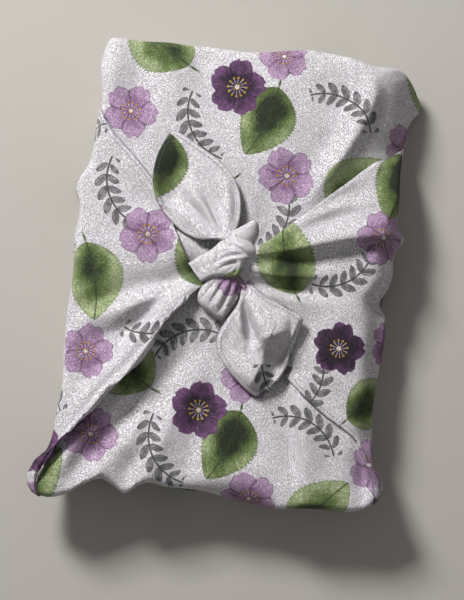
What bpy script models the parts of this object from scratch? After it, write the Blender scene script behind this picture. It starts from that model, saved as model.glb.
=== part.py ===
# A furoshiki wrap: one square of crepe tied round a flat box-shaped parcel.
# The cloth lies diagonally under the parcel. Two opposite corners, here the flaps, are folded
# over the top. The other two, here the wings, are gathered over them and tied in a knot, which
# leaves two free ends. The cloth is one piece, hollow where the box would be.
# Plan: +X right, +Y towards the far end, +Z up. Tables are in millimetres.
import math

import bmesh
import bpy
import numpy as np

MM = 0.001

# Driving sizes
CLOTH = 1.6
PARCEL_WIDTH = 185.0
PARCEL_LENGTH = 264.0
PARCEL_CORNER = 13.0
SMALLEST_CORNER = 2.0
TOP = 39.6
WING_CLEARANCE = 1.0
WING_MERGE = 0.8
RIM_INSET = 10.0
# The middle of the outline's box, in the tables' plan. The part is centred on it.
PLAN_CENTRE = np.array((-1.8, -3.6))

# Mesh fineness
CURVE_STEPS = 16
END_STEPS = 18
SIDE_STEPS = 26
WING_ROWS = 13
WING_COLUMNS = 16
TAIL_COLUMNS = 10
TAIL_ROWS = 12
BAND_SIDES = 14
BAND_ROWS = 12
# Edges that turn by more than this many degrees look sharp
SHARP_TURN = 40.0

# Where the rim stands out from, or in to, the plain rounded rectangle
RIM_SWELLS = (
    # x, y, out, spread
    (-92.5, 30.0, 7.0, 20.0),
    (-92.5, -35.0, 3.5, 30.0),
    (-92.5, -132.0, 20.5, 15.0),
    (-52.0, -132.0, 5.0, 8.0),
    (38.0, -132.0, 4.0, 22.0),
    (92.5, -120.0, 8.5, 13.0),
    (92.5, -6.0, -4.0, 7.0),
    (92.5, 33.0, 4.5, 8.0),
    (92.5, 117.0, 6.5, 13.0),
    (38.0, 132.0, 6.5, 24.0),
    (-92.5, 112.0, 2.5, 20.0),
)

# The wall, from the edge of the base up and over the rim
WALL_SECTIONS = (
    # inset from the outline, height, share of the swells
    (4.4, 0.0, 0.05),
    (2.2, 2.4, 0.1),
    (1.0, 12.0, 0.35),
    (0.3, 23.0, 0.7),
    (0.0, 31.0, 1.0),
    (1.3, 36.0, 1.0),
    (5.0, 38.9, 1.0),
)

# The flaps, from the rim to the mouth between them
FLAP_SECTIONS = (
    # inset from the outline, share of the swells, share of the way to the mouth
    (10.0, 1.0, 0.0),
    (18.0, 0.7, 0.0),
    (28.0, 0.35, 0.08),
    (34.0, 0.15, 0.26),
    (38.0, 0.0, 0.5),
    (40.0, 0.0, 0.75),
    (40.0, 0.0, 1.0),
)

# Soft ridges and troughs of the two flaps
FLAP_FOLDS = (
    # from x, y, to x, y, rise, spread
    (71.0, 122.0, 44.0, 52.0, 3.0, 9.0),
    (-62.0, 122.0, -56.0, 74.0, -1.8, 13.0),
    (-28.0, 126.0, -27.0, 84.0, -1.6, 13.0),
    (94.0, 96.0, 96.0, 126.0, -3.0, 8.0),
    (50.0, -72.0, 53.0, -110.0, 2.6, 9.0),
    (33.0, -76.0, 31.0, -108.0, -2.0, 9.0),
    (-58.0, -98.0, -82.0, -130.0, -3.0, 8.0),
    (-72.0, -102.0, -93.0, -138.0, 2.4, 7.0),
    (-20.0, -84.0, -24.0, -120.0, 2.0, 12.0),
)

# The mouth between the flaps, which the wings and the knot cover
MOUTH_REACH = 40.0
MOUTH_MIDDLE_Y = -5.0
MOUTH_HALF_HEIGHT = 3.5
MOUTH_STRAIGHT = 16.0
MOUTH_SPREAD = 0.55

# The wings: plan of each edge from the rim to the knot
LEFT_UPPER_EDGE = (
    # x, y
    (-93.5, 90.0),
    (-71.0, 67.0),
    (-55.5, 50.0),
    (-46.5, 35.5),
    (-37.0, 19.0),
    (-26.0, 5.0),
    (-14.0, 8.0),
)
LEFT_LOWER_EDGE = (
    # x, y
    (-101.0, -143.0),
    (-86.0, -111.0),
    (-69.0, -83.0),
    (-45.5, -49.0),
    (-30.0, -26.0),
    (-17.0, -11.0),
    (-8.0, -2.0),
)
RIGHT_UPPER_EDGE = (
    # x, y
    (92.0, 90.0),
    (78.0, 81.0),
    (62.0, 64.0),
    (43.0, 45.0),
    (28.0, 30.5),
    (14.0, 18.0),
    (4.0, 12.0),
)
RIGHT_LOWER_EDGE = (
    # x, y
    (98.0, -120.0),
    (88.0, -96.0),
    (60.0, -76.0),
    (36.0, -56.0),
    (20.0, -34.0),
    (9.0, -13.0),
    (2.0, -4.0),
)

LEFT_FOLDS = (
    # from x, y, to x, y, rise, spread
    (-28.0, 3.0, -88.0, -18.0, -2.6, 7.0),
    (-27.0, -4.0, -80.0, -26.0, 2.0, 6.0),
    (-46.0, -27.0, -88.0, -51.0, -2.4, 8.0),
    (-20.0, -12.0, -60.0, -68.0, 3.4, 5.0),
    (-60.0, -68.0, -94.0, -124.0, 2.6, 5.0),
    (-44.0, 5.0, -72.0, 20.0, -1.2, 5.0),
    (-30.0, 12.0, -70.0, 62.0, 1.4, 6.0),
)
RIGHT_FOLDS = (
    (19.0, 17.0, 60.0, 33.0, 4.2, 6.0),
    (60.0, 33.0, 96.0, 32.0, 2.8, 6.0),
    (22.0, 9.0, 84.0, 20.0, -2.6, 5.0),
    (16.0, 6.0, 48.0, 12.0, 1.6, 4.0),
    (17.0, -3.0, 54.0, 1.0, -2.0, 5.0),
    (35.0, 35.0, 88.0, 76.0, 2.4, 8.0),
    (14.0, -16.0, 36.0, -54.0, 2.0, 5.0),
)
# How far a wing is lifted off the flaps on its way to the knot
WING_LIFT = 11.0
WING_LIFT_POWER = 2.4
# The share of its way over which a wing comes clear of the flaps, and how far its valleys may
# reach below its lift
WING_SETTLING = 0.2
VALLEY_MARGIN = 0.2

# The free ends, from the knot to the tip
LEFT_TAIL = (
    # left x, y, z, middle z, right x, y, z
    (-19.0, 8.0, 50.0, 53.0, -5.0, 14.0, 53.0),
    (-34.0, 20.0, 49.0, 51.0, -4.5, 24.0, 54.0),
    (-49.0, 33.0, 49.5, 48.5, -1.5, 36.0, 53.0),
    (-54.5, 46.0, 51.0, 48.0, -2.6, 47.0, 51.5),
    (-53.0, 58.0, 51.0, 48.5, -6.5, 59.0, 50.0),
    (-50.0, 69.0, 50.0, 49.0, -18.5, 69.0, 48.5),
    (-47.5, 77.0, 48.5, 48.5, -34.0, 77.0, 47.5),
    (-44.5, 81.0, 47.0, 47.2, -42.0, 81.0, 47.0),
)
RIGHT_TAIL = (
    (2.5, -11.0, 50.0, 52.0, 16.0, -6.0, 50.0),
    (-1.5, -21.0, 47.0, 52.0, 25.0, -13.0, 50.0),
    (-5.0, -33.0, 45.5, 50.5, 36.0, -17.5, 50.0),
    (-6.0, -43.0, 45.5, 49.5, 42.0, -27.0, 49.0),
    (-2.5, -52.0, 45.5, 49.5, 40.5, -42.0, 47.5),
    (4.5, -60.0, 45.5, 48.5, 37.5, -54.0, 46.0),
    (12.5, -67.0, 45.0, 46.5, 32.0, -63.0, 45.0),
    (18.5, -71.5, 44.5, 45.0, 25.0, -70.5, 44.5),
)

# The bands of the knot, each a run of rounded sections
WRAP_BAND = (
    # x, y, z, half width, half depth
    (-22.8, -1.5, 51.0, 7.2, 2.4),
    (-14.3, 3.7, 55.0, 8.4, 4.2),
    (-4.6, 12.5, 57.5, 9.6, 6.0),
    (2.6, 21.4, 55.5, 8.2, 5.0),
    (6.2, 28.0, 53.0, 4.8, 3.2),
    (7.7, 31.0, 51.8, 2.2, 1.8),
)
PLEATED_BUNDLE = (
    (2.0, 6.0, 51.0, 7.0, 4.5),
    (-3.0, -4.0, 52.5, 7.6, 6.0),
    (-8.5, -12.0, 50.5, 9.6, 5.4),
    (-14.0, -18.5, 47.5, 9.6, 4.2),
    (-18.0, -22.5, 45.0, 6.4, 2.6),
)
RIGHT_BUNDLE = (
    (-2.0, 4.0, 51.0, 8.0, 5.0),
    (6.0, 2.0, 52.0, 11.0, 6.0),
    (14.0, 2.0, 50.0, 11.0, 4.4),
    (20.0, 2.5, 47.8, 9.0, 2.6),
)


def smooth_curve(points, count):
    """Evenly spaced points on the smooth open curve through the given points."""
    knots = np.array(points, float)
    ends = np.vstack((2 * knots[0] - knots[1], knots, 2 * knots[-1] - knots[-2]))
    share = np.linspace(0.0, 1.0, CURVE_STEPS, endpoint=False)[:, None]
    runs = []
    for before, start, end, after in zip(ends, ends[1:], ends[2:], ends[3:]):
        bend = 2 * before - 5 * start + 4 * end - after
        twist = 3 * (start - end) + after - before
        runs.append(start + 0.5 * share * (end - before + share * (bend + share * twist)))
    dense = np.vstack(runs + [knots[-1:]])
    steps = np.linalg.norm(np.diff(dense, axis=0), axis=1)
    travelled = np.concatenate(([0.0], np.cumsum(steps)))
    wanted = np.linspace(0.0, travelled[-1], count)
    return np.column_stack([np.interp(wanted, travelled, column) for column in dense.T])


def fold_rise(plan, folds):
    """The height that a table of folds adds at each point of the plan."""
    rise = np.zeros(plan.shape[:-1])
    for from_x, from_y, to_x, to_y, height, spread in folds:
        start = np.array((from_x, from_y))
        run = np.array((to_x, to_y)) - start
        share = np.clip((plan - start) @ run / (run @ run), 0.0, 1.0)
        away = np.linalg.norm(plan - start - share[..., None] * run, axis=-1)
        rise += height * np.exp(-((away / spread) ** 2))
    return rise


def flap_top(plan):
    """The height of the flaps' outer face."""
    return TOP + fold_rise(plan, FLAP_FOLDS)


def plain_loop(inset):
    """The rounded rectangle that the parcel fills, drawn in, anticlockwise from its lower right."""
    half_width = PARCEL_WIDTH / 2 - inset
    half_length = PARCEL_LENGTH / 2 - inset
    radius = max(PARCEL_CORNER - inset, SMALLEST_CORNER)
    corners = (
        (half_width, -half_length, SIDE_STEPS),
        (half_width, half_length, END_STEPS),
        (-half_width, half_length, SIDE_STEPS),
        (-half_width, -half_length, END_STEPS),
    )
    inner = np.array((half_width - radius, half_length - radius))
    loop = []
    outward = []
    for number, (x, y, steps) in enumerate(corners):
        next_x, next_y, _ = corners[(number + 1) % len(corners)]
        start = np.array((x, y))
        end = np.array((next_x, next_y))
        for step in range(steps):
            point = start + (end - start) * step / steps
            middle = np.clip(point, -inner, inner)
            away = (point - middle) / np.linalg.norm(point - middle)
            loop.append(middle + away * radius)
            outward.append(away)
    return np.array(loop), np.array(outward)


def outline(inset, swell_share):
    """The parcel's outline with its swells, drawn in by an inset."""
    rim, outward = plain_loop(0.0)
    out = np.zeros(len(rim))
    for x, y, reach, spread in RIM_SWELLS:
        away = np.linalg.norm(rim - (x, y), axis=1)
        out += swell_share * reach * np.exp(-((away / spread) ** 2))
    drawn_in, _ = plain_loop(inset)
    return drawn_in + outward * out[:, None]


def mouth_loop():
    """The edge of the mouth between the flaps, in step with the outline."""

    def half_height(x):
        return MOUTH_HALF_HEIGHT + MOUTH_SPREAD * max(0.0, abs(x) - MOUTH_STRAIGHT)

    loop = []
    end = half_height(MOUTH_REACH)
    for step in range(SIDE_STEPS):
        loop.append((MOUTH_REACH, end * (2 * step / SIDE_STEPS - 1)))
    for step in range(END_STEPS):
        x = MOUTH_REACH * (1 - 2 * step / END_STEPS)
        loop.append((x, half_height(x)))
    far_half = [(-x, -y) for x, y in loop]
    return np.array(loop + far_half) + (0.0, MOUTH_MIDDLE_Y)


def with_height(plan, height):
    """Plan points with their heights as a third column, in metres about the part's middle."""
    centred = plan - PLAN_CENTRE
    height = np.broadcast_to(height, centred.shape[:-1])
    return np.concatenate((centred, height[..., None]), axis=-1) * MM


def mesh_object(name, points, faces):
    """A new object in the scene from rows of points and faces."""
    mesh = bpy.data.meshes.new(name)
    mesh.from_pydata([tuple(point) for point in points], [], faces)
    piece = bpy.data.objects.new(name, mesh)
    bpy.context.scene.collection.objects.link(piece)
    return piece


def grid_faces(rows, columns, closed):
    """The faces of a grid of points, whose rows may each be a closed ring."""
    faces = []
    for row in range(rows - 1):
        for column in range(columns if closed else columns - 1):
            beside = (column + 1) % columns
            low = row * columns
            high = low + columns
            faces.append((low + column, low + beside, high + beside, high + column))
    return faces


def settle(piece):
    """Bake the piece's modifiers into its mesh."""
    graph = bpy.context.evaluated_depsgraph_get()
    mesh = bpy.data.meshes.new_from_object(piece.evaluated_get(graph))
    piece.modifiers.clear()
    piece.data = mesh


def thicken(piece):
    """Give an open sheet its thickness, inwards from its outer face."""
    solid = piece.modifiers.new("cloth", "SOLIDIFY")
    solid.thickness = CLOTH * MM
    solid.offset = -1.0
    solid.use_even_offset = False
    settle(piece)


def unite(whole, piece):
    """Join a piece to the whole and remove it."""
    union = whole.modifiers.new("union", "BOOLEAN")
    union.operation = "UNION"
    union.solver = "EXACT"
    union.object = piece
    settle(whole)
    bpy.data.objects.remove(piece)


def wrapped_flaps():
    """The base, the walls and the two flaps: one sheet from the base over the rim to the mouth."""
    rings = []
    for inset, height, swell_share in WALL_SECTIONS:
        rings.append(with_height(outline(inset, swell_share), height))
    mouth = mouth_loop()
    for inset, swell_share, way in FLAP_SECTIONS:
        plan = (1 - way) * outline(inset, swell_share) + way * mouth
        rings.append(with_height(plan, flap_top(plan)))
    count = len(mouth)
    faces = grid_faces(len(rings), count, closed=True)
    base = tuple(reversed(range(count)))
    body = mesh_object("furoshiki_cloth", np.vstack(rings), [base] + faces)
    thicken(body)
    return body


def stretch_of(loop, start, end, count):
    """Evenly spaced points on the loop from near one point to near another, anticlockwise."""
    first = int(np.argmin(np.linalg.norm(loop - start, axis=1)))
    last = int(np.argmin(np.linalg.norm(loop - end, axis=1)))
    if last < first:
        last += len(loop)
    picked = loop[np.arange(first, last + 1) % len(loop)]
    return smooth_curve(picked, count)


def patch(first_row, last_row, first_side, last_side):
    """The plan of a four-sided patch whose sides are curves: rows run from first_row to last_row."""
    down = np.linspace(0.0, 1.0, len(first_side))[:, None, None]
    across = np.linspace(0.0, 1.0, len(first_row))[None, :, None]
    between_sides = (1 - across) * first_side[:, None] + across * last_side[:, None]
    between_rows = (1 - down) * first_row[None] + down * last_row[None]
    corners = (1 - down) * ((1 - across) * first_row[0] + across * first_row[-1])
    corners = corners + down * ((1 - across) * last_row[0] + across * last_row[-1])
    return between_sides + between_rows - corners


def wing(name, first_edge, last_edge, folds):
    """A wing: from the wall over the rim, and across the flaps to the knot."""
    rows = []
    for inset, height, swell_share in WALL_SECTIONS[-3:]:
        ring = outline(inset - WING_MERGE, swell_share)
        plan = stretch_of(ring, first_edge[0], last_edge[0], WING_COLUMNS + 1)
        rows.append(with_height(plan, height + WING_MERGE))
    first_side = smooth_curve(first_edge, WING_ROWS + 1)
    last_side = smooth_curve(last_edge, WING_ROWS + 1)
    rim = stretch_of(outline(RIM_INSET, 1.0), first_edge[0], last_edge[0], WING_COLUMNS + 1)
    knot_end = np.linspace(first_side[-1], last_side[-1], WING_COLUMNS + 1)
    first_side += (rim[0] - first_side[0]) * np.linspace(1.0, 0.0, WING_ROWS + 1)[:, None]
    last_side += (rim[-1] - last_side[0]) * np.linspace(1.0, 0.0, WING_ROWS + 1)[:, None]
    plan = patch(rim, knot_end, first_side, last_side)
    down = np.linspace(0.0, 1.0, WING_ROWS + 1)[:, None]
    settled = np.minimum(1.0, down / WING_SETTLING)
    clear = WING_MERGE + (WING_CLEARANCE + CLOTH - WING_MERGE) * settled
    lift = WING_LIFT * down**WING_LIFT_POWER
    folded = np.maximum(fold_rise(plan, folds), -lift - VALLEY_MARGIN)
    height = flap_top(plan) + clear + lift + settled * folded
    rows.extend(with_height(plan, height))
    piece = mesh_object(name, np.vstack(rows), grid_faces(len(rows), WING_COLUMNS + 1, closed=False))
    thicken(piece)
    return piece


def tail(name, sections):
    """A free end: a sheet whose sections run from the knot to the tip."""
    table = np.array(sections)
    path = smooth_curve(table, TAIL_ROWS + 1)
    left = path[:, None, 0:3]
    middle_height = path[:, None, 3]
    right = path[:, None, 4:7]
    across = np.linspace(0.0, 1.0, TAIL_COLUMNS + 1)[None, :, None]
    points = (1 - across) * left + across * right
    bulge = middle_height - (left[..., 2] + right[..., 2]) / 2
    points[..., 2] += bulge * np.sin(math.pi * across[..., 0])
    rows = with_height(points[..., :2], points[..., 2])
    faces = grid_faces(TAIL_ROWS + 1, TAIL_COLUMNS + 1, closed=False)
    piece = mesh_object(name, rows.reshape(-1, 3), faces)
    thicken(piece)
    return piece


def band(name, sections):
    """A band of the knot: rounded sections along a curved path, closed at both ends."""
    path = smooth_curve(sections, BAND_ROWS + 1)
    centre = path[:, :3]
    ahead = np.gradient(centre[:, :2], axis=0)
    ahead /= np.linalg.norm(ahead, axis=1)[:, None]
    sideways = np.column_stack((-ahead[:, 1], ahead[:, 0]))
    turn = np.linspace(0.0, 2 * math.pi, BAND_SIDES, endpoint=False)
    rows = []
    for middle, side, half_width, half_depth in zip(centre, sideways, path[:, 3], path[:, 4]):
        plan = middle[:2] + np.cos(turn)[:, None] * half_width * side
        rows.append(with_height(plan, middle[2] + np.sin(turn) * half_depth))
    faces = grid_faces(BAND_ROWS + 1, BAND_SIDES, closed=True)
    first_end = tuple(range(BAND_SIDES))
    last_end = tuple(BAND_ROWS * BAND_SIDES + side for side in reversed(range(BAND_SIDES)))
    return mesh_object(name, np.vstack(rows), faces + [first_end, last_end])


def crepe_material():
    """Plain white crepe."""
    material = bpy.data.materials.new("white_crepe")
    material.use_nodes = True
    shader = material.node_tree.nodes["Principled BSDF"]
    shader.inputs["Base Color"].default_value = (0.80, 0.78, 0.80, 1.0)
    shader.inputs["Roughness"].default_value = 0.9
    shader.inputs["Metallic"].default_value = 0.0
    return material


def drop_slivers(piece):
    """Keep only the largest run of joined faces, without the slivers that a union can leave."""
    shape = bmesh.new()
    shape.from_mesh(piece.data)
    left = set(shape.verts)
    bodies = []
    while left:
        body = set()
        front = [next(iter(left))]
        while front:
            point = front.pop()
            if point in body:
                continue
            body.add(point)
            front.extend(edge.other_vert(point) for edge in point.link_edges)
        left -= body
        bodies.append(body)
    largest = max(bodies, key=len)
    slivers = [point for point in shape.verts if point not in largest]
    bmesh.ops.delete(shape, geom=slivers, context="VERTS")
    shape.to_mesh(piece.data)
    shape.free()


def face_outwards(piece):
    """Turn a closed piece's faces to point out of it."""
    shape = bmesh.new()
    shape.from_mesh(piece.data)
    bmesh.ops.recalc_face_normals(shape, faces=shape.faces)
    shape.to_mesh(piece.data)
    shape.free()


def build():
    """Make the whole cloth as one closed piece."""
    for piece in list(bpy.data.objects):
        bpy.data.objects.remove(piece)
    cloth = wrapped_flaps()
    face_outwards(cloth)
    pieces = (
        wing("left_wing", LEFT_UPPER_EDGE, LEFT_LOWER_EDGE, LEFT_FOLDS),
        wing("right_wing", RIGHT_LOWER_EDGE, RIGHT_UPPER_EDGE, RIGHT_FOLDS),
        band("wrap_band", WRAP_BAND),
        band("pleated_bundle", PLEATED_BUNDLE),
        band("right_bundle", RIGHT_BUNDLE),
        tail("left_tail", LEFT_TAIL),
        tail("right_tail", RIGHT_TAIL),
    )
    for piece in pieces:
        face_outwards(piece)
        unite(cloth, piece)
    drop_slivers(cloth)
    cloth.data.materials.clear()
    cloth.data.materials.append(crepe_material())
    cloth.data.shade_smooth()
    cloth.data.set_sharp_from_angle(angle=math.radians(SHARP_TURN))


build()
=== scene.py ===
# The looks of a furoshiki wrap: one square of printed crepe tied round a flat box shape.
# The cloth is built as the layers in which it lies: the wrapped body with its two flaps, two
# wings gathered over them, the parts of the knot and two free ends. Tables are in millimetres,
# in a plan whose +X points right and +Y to the far end; MM turns them into metres.
import math

import bpy
import numpy as np
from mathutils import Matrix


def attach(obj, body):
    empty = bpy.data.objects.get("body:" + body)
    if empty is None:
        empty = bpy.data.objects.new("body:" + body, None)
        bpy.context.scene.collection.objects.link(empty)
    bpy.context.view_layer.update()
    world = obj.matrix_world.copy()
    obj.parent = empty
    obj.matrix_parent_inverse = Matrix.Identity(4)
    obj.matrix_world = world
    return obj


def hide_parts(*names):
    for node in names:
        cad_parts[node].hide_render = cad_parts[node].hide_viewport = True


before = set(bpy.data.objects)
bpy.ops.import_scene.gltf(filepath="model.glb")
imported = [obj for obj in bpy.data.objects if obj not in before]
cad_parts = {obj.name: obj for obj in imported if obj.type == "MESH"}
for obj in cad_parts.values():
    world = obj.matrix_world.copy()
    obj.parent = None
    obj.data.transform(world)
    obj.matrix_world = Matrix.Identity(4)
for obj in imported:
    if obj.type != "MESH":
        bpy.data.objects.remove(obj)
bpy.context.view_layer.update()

MM = 0.001
# The side of the flat square, in metres
THICKNESS = 0.7
# The distance given to points that have no hem near them
NO_HEM = 99.0
# The point of the plan that lies over the frame's origin
PLAN_CENTRE = np.array((-1.8, -3.6))

# The plain rounded rectangle that the parcel fills, and its corner radii from the lower right
HALF_WIDTH = 93.0
HALF_LENGTH = 134.0
CORNERS = (10.0, 9.0, 4.0, 11.0)
TOP = 39.8
SMALLEST_CORNER = 1.5
# The height at which the wall starts to turn over to the top
BRIM = 30.0
# Rings of the base, as insets from the outline
BASE_INSETS = (88.0, 60.0, 30.0, 10.0)

# Mesh fineness
BODY_COLUMNS = 400
WALL_ROWS = 24
FLAP_ROWS = 44
UNDER_ROWS = 8
WING_COLUMNS = 76
WING_ROWS = 64
EDGE_TURN = 6
EDGE_BACK = 6
TAIL_COLUMNS = 72
TAIL_ROWS = 72
# Steps between two points of a smooth curve, then points along each kind of fold
CURVE_STEPS = 16
FOLD_STEPS = 24
CREST_STEPS = 32
DROP_STEPS = 12
# Stands in for a length of nothing
SHORTEST = 1e-9

# Where the rim stands out from, or in to, the plain rectangle
RIM_SWELLS = (
    # x, y, out, spread
    (-40.0, 134.0, 1.2, 40.0),
    (35.0, 134.0, 7.0, 28.0),
    (58.0, 134.0, 1.2, 9.0),
    (84.0, 134.0, 2.5, 12.0),
    (93.0, 118.0, 9.0, 9.5),
    (93.0, 101.0, 2.5, 7.0),
    (93.0, 76.0, -1.5, 10.0),
    (93.0, 33.0, 5.5, 6.0),
    (93.0, 12.0, 1.0, 5.0),
    (93.0, -6.0, -5.5, 5.0),
    (93.0, -30.0, 1.2, 10.0),
    (93.0, -62.0, -1.0, 20.0),
    (93.0, -118.0, 9.5, 12.0),
    (38.0, -134.0, 3.5, 18.0),
    (88.0, -134.0, -1.5, 10.0),
    (-8.0, -134.0, -2.0, 16.0),
    (-35.0, -134.0, -3.0, 9.0),
    (-50.0, -134.0, 4.5, 5.5),
    (-66.0, -134.0, -2.5, 5.0),
    (-79.0, -134.0, 2.5, 8.0),
    (-92.0, -131.0, 20.0, 9.0),
    (-93.0, -116.0, 3.5, 9.0),
    (-93.0, -96.0, 2.5, 14.0),
    (-93.0, -35.0, 3.8, 38.0),
    (-93.0, 42.0, 7.5, 11.0),
    (-93.0, 14.0, 4.2, 18.0),
    (-93.0, 116.0, 3.0, 12.0),
)

# Up the wall and over the rim
WALL_SECTIONS = (
    # inset from the outline, height, share of the swells
    (4.2, 0.0, 0.05),
    (2.6, 1.2, 0.08),
    (1.6, 6.0, 0.2),
    (0.9, 14.0, 0.45),
    (0.3, 23.0, 0.75),
    (0.0, 31.0, 1.0),
    (0.4, 35.8, 1.0),
    (1.5, 38.3, 1.0),
    (4.0, 39.5, 1.0),
    (10.0, 39.8, 1.0),
)
RIM_INSET = 10.0
# Soft folds down the walls: length along the wall, slant as places gained up the wall, phase, depth
WALL_RIPPLES = (
    (61.0, 30.0, 0.6, 0.5),
    (34.0, -22.0, 2.2, 0.4),
    (23.0, 14.0, 4.1, 0.25),
)

# Across the top, from the rim to the mouth that the knot covers
FLAP_SECTIONS = (
    # inset from the outline, share of the swells, share of the way to the mouth
    (10.0, 1.0, 0.0),
    (19.0, 0.7, 0.0),
    (28.0, 0.35, 0.06),
    (36.0, 0.12, 0.2),
    (42.0, 0.0, 0.4),
    (46.0, 0.0, 0.66),
    (48.0, 0.0, 1.0),
)
MOUTH_CENTRE = np.array((-6.0, -4.0))
MOUTH_HALF_LENGTH = 12.0
MOUTH_HALF_WIDTH = 2.5
# The angle on the mouth's oval at each corner of the outline, in radians
MOUTH_TURNS = (-0.8, 0.8, 2.34, 3.94, 5.48)
# How far the flaps' corners turn back from the mouth, and how much lower they lie there
UNDER_WAY = 0.42
UNDER_DROP = 1.7

# Folds of the flaps: the path of each crest or trough, how far it spreads to either side, and
# how round it is: 2 is soft, 1 is a sharp crease
FLAP_FOLDS = (
    # left spread, right spread, roundness, then the path as x, y, rise
    (9.0, 5.0, 1.8, (-25.2, -1.2, -2.6), (-19.0, 8.5, -2.8), (-11.1, 14.8, -2.4)),
    (5.0, 8.0, 1.8, (-37.0, 21.6, 0.6), (-30.6, 18.7, 2.2), (-20.8, 17.5, 3.2), (-10.0, 18.1, 3.2)),
    (24.0, 24.0, 2.0, (-12.0, 4.0, 4.0), (2.0, -2.0, 4.0)),
    (6.0, 10.0, 2.0, (6.2, 64.2, -0.8), (15.7, 46.0, -2.6), (20.4, 31.4, -3.2), (21.7, 20.7, -2.4)),
    (6.0, 6.0, 2.0, (-40.0, 24.0, 0.0), (-29.0, 12.0, 2.4), (-20.0, 4.0, 2.4)),
    (5.0, 8.0, 1.8, (63.6, 130.2, 1.5), (70.1, 118.9, 4.0), (64.9, 97.2, 4.5), (57.4, 81.2, 4.2),
     (49.4, 67.5, 3.4), (39.3, 50.6, 1.0)),
    (7.0, 7.0, 2.0, (-73.6, 130.8, -2.0), (-70.6, 105.2, -3.8), (-65.1, 79.9, -0.8)),
    (5.0, 5.0, 1.8, (-89.2, 130.1, 1.8), (-87.9, 109.2, 2.2), (-87.0, 91.1, 0.4)),
    (9.0, 8.0, 2.0, (-39.1, 134.9, -3.8), (-29.8, 113.1, -4.6), (-18.4, 98.7, -2.8),
     (-7.5, 87.9, -0.6)),
    (8.0, 9.0, 2.0, (-57.5, 132.7, 1.6), (-51.5, 107.5, 1.8), (-42.1, 84.4, 0.4)),
    (14.0, 14.0, 2.0, (16.0, 134.0, 0.8), (14.0, 100.0, 2.0), (8.0, 60.0, 1.0)),
    (6.0, 10.0, 2.0, (51.7, 128.8, -0.4), (51.7, 108.3, -1.8), (47.6, 87.3, -2.4), (38.6, 66.8, -2.0),
     (28.5, 49.9, -0.5)),
    (13.0, 3.0, 1.6, (43.0, -54.0, 0.4), (48.0, -78.0, 5.0), (53.0, -102.0, 5.0), (58.0, -130.0, 1.4)),
    (3.5, 9.0, 2.0, (36.0, -60.0, -0.8), (41.5, -80.0, -2.4), (46.5, -104.0, -2.4),
     (50.0, -126.0, -0.6)),
    (3.0, 7.0, 1.8, (82.0, -94.8, -0.4), (87.9, -103.7, -4.5), (91.6, -114.2, -7.0),
     (92.8, -124.9, -4.0)),
    (8.0, 5.5, 2.0, (-21.3, -49.1, -2.0), (-45.0, -79.1, -5.0), (-64.4, -103.8, -5.5),
     (-74.4, -120.7, -3.2), (-81.1, -136.0, 0.0)),
    (5.0, 4.5, 1.8, (-67.7, -95.7, 0.5), (-81.7, -110.6, 3.6), (-89.4, -127.3, 5.0),
     (-93.9, -144.7, 4.0)),
    (8.0, 6.0, 1.8, (-30.8, -81.6, 0.4), (-48.0, -99.4, 3.2), (-62.5, -119.2, 3.6),
     (-74.5, -140.0, 2.0)),
    (5.0, 5.5, 1.8, (-38.4, -108.5, -0.4), (-47.7, -122.3, -2.4), (-51.0, -134.8, -1.6)),
    (6.0, 7.0, 1.8, (-25.8, -82.8, 0.0), (-31.3, -102.2, 3.6), (-35.8, -120.3, 3.0),
     (-40.5, -142.0, 1.6)),
    (8.0, 8.0, 2.0, (-8.3, -66.9, -1.0), (-9.2, -80.2, -4.2), (-11.2, -93.2, -4.6),
     (-10.9, -105.8, -3.6), (-13.9, -121.9, -1.8)),
    (5.0, 5.0, 2.0, (-27.3, -70.3, -0.5), (-36.6, -83.5, -3.2), (-40.5, -96.1, -3.0),
     (-40.9, -108.2, -0.4)),
    (9.0, 9.0, 2.0, (6.0, -80.0, 0.4), (3.0, -104.0, 2.4), (2.0, -130.0, 1.0)),
)
# The crest in the upper right, beyond which the flap falls away at a steady slope
CREST = (
    # x, y, slope of the cloth to its right
    (55.0, 131.6, 0.20),
    (65.8, 126.9, 0.42),
    (70.4, 119.0, 0.56),
    (69.1, 109.8, 0.56),
    (64.6, 97.1, 0.50),
    (57.4, 81.2, 0.44),
    (49.4, 67.5, 0.36),
    (41.2, 54.5, 0.24),
    (32.9, 43.2, 0.00),
)
CREST_ROUNDING = 2.0
# Where the rim hangs lower than the top, or rolls over softly
RIM_DROPS = (
    # drop, spread, then the path as x, y
    (4.0, 20.0, (93.9, -12.4), (96.7, -41.0), (98.0, -77.1)),
    (9.0, 14.0, (103.0, 122.0), (103.0, 114.0)),
    (4.0, 12.0, (-100.0, -146.0), (-100.0, -138.0)),
    (3.0, 10.0, (-98.0, 138.0), (-98.0, 130.0)),
    (9.0, 12.0, (98.0, 140.0), (104.0, 126.0), (103.0, 108.0), (94.0, 90.0)),
    (8.0, 6.0, (96.5, 42.3), (96.1, 30.2), (92.5, 20.1), (93.4, 6.9), (89.4, -4.5)),
    (12.0, 8.0, (91.5, -12.7), (93.2, -26.4), (93.8, -41.4), (94.8, -65.4), (93.8, -87.3)),
    (7.0, 8.0, (34.0, -139.0), (6.0, -136.0), (-18.0, -137.0)),
)

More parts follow.
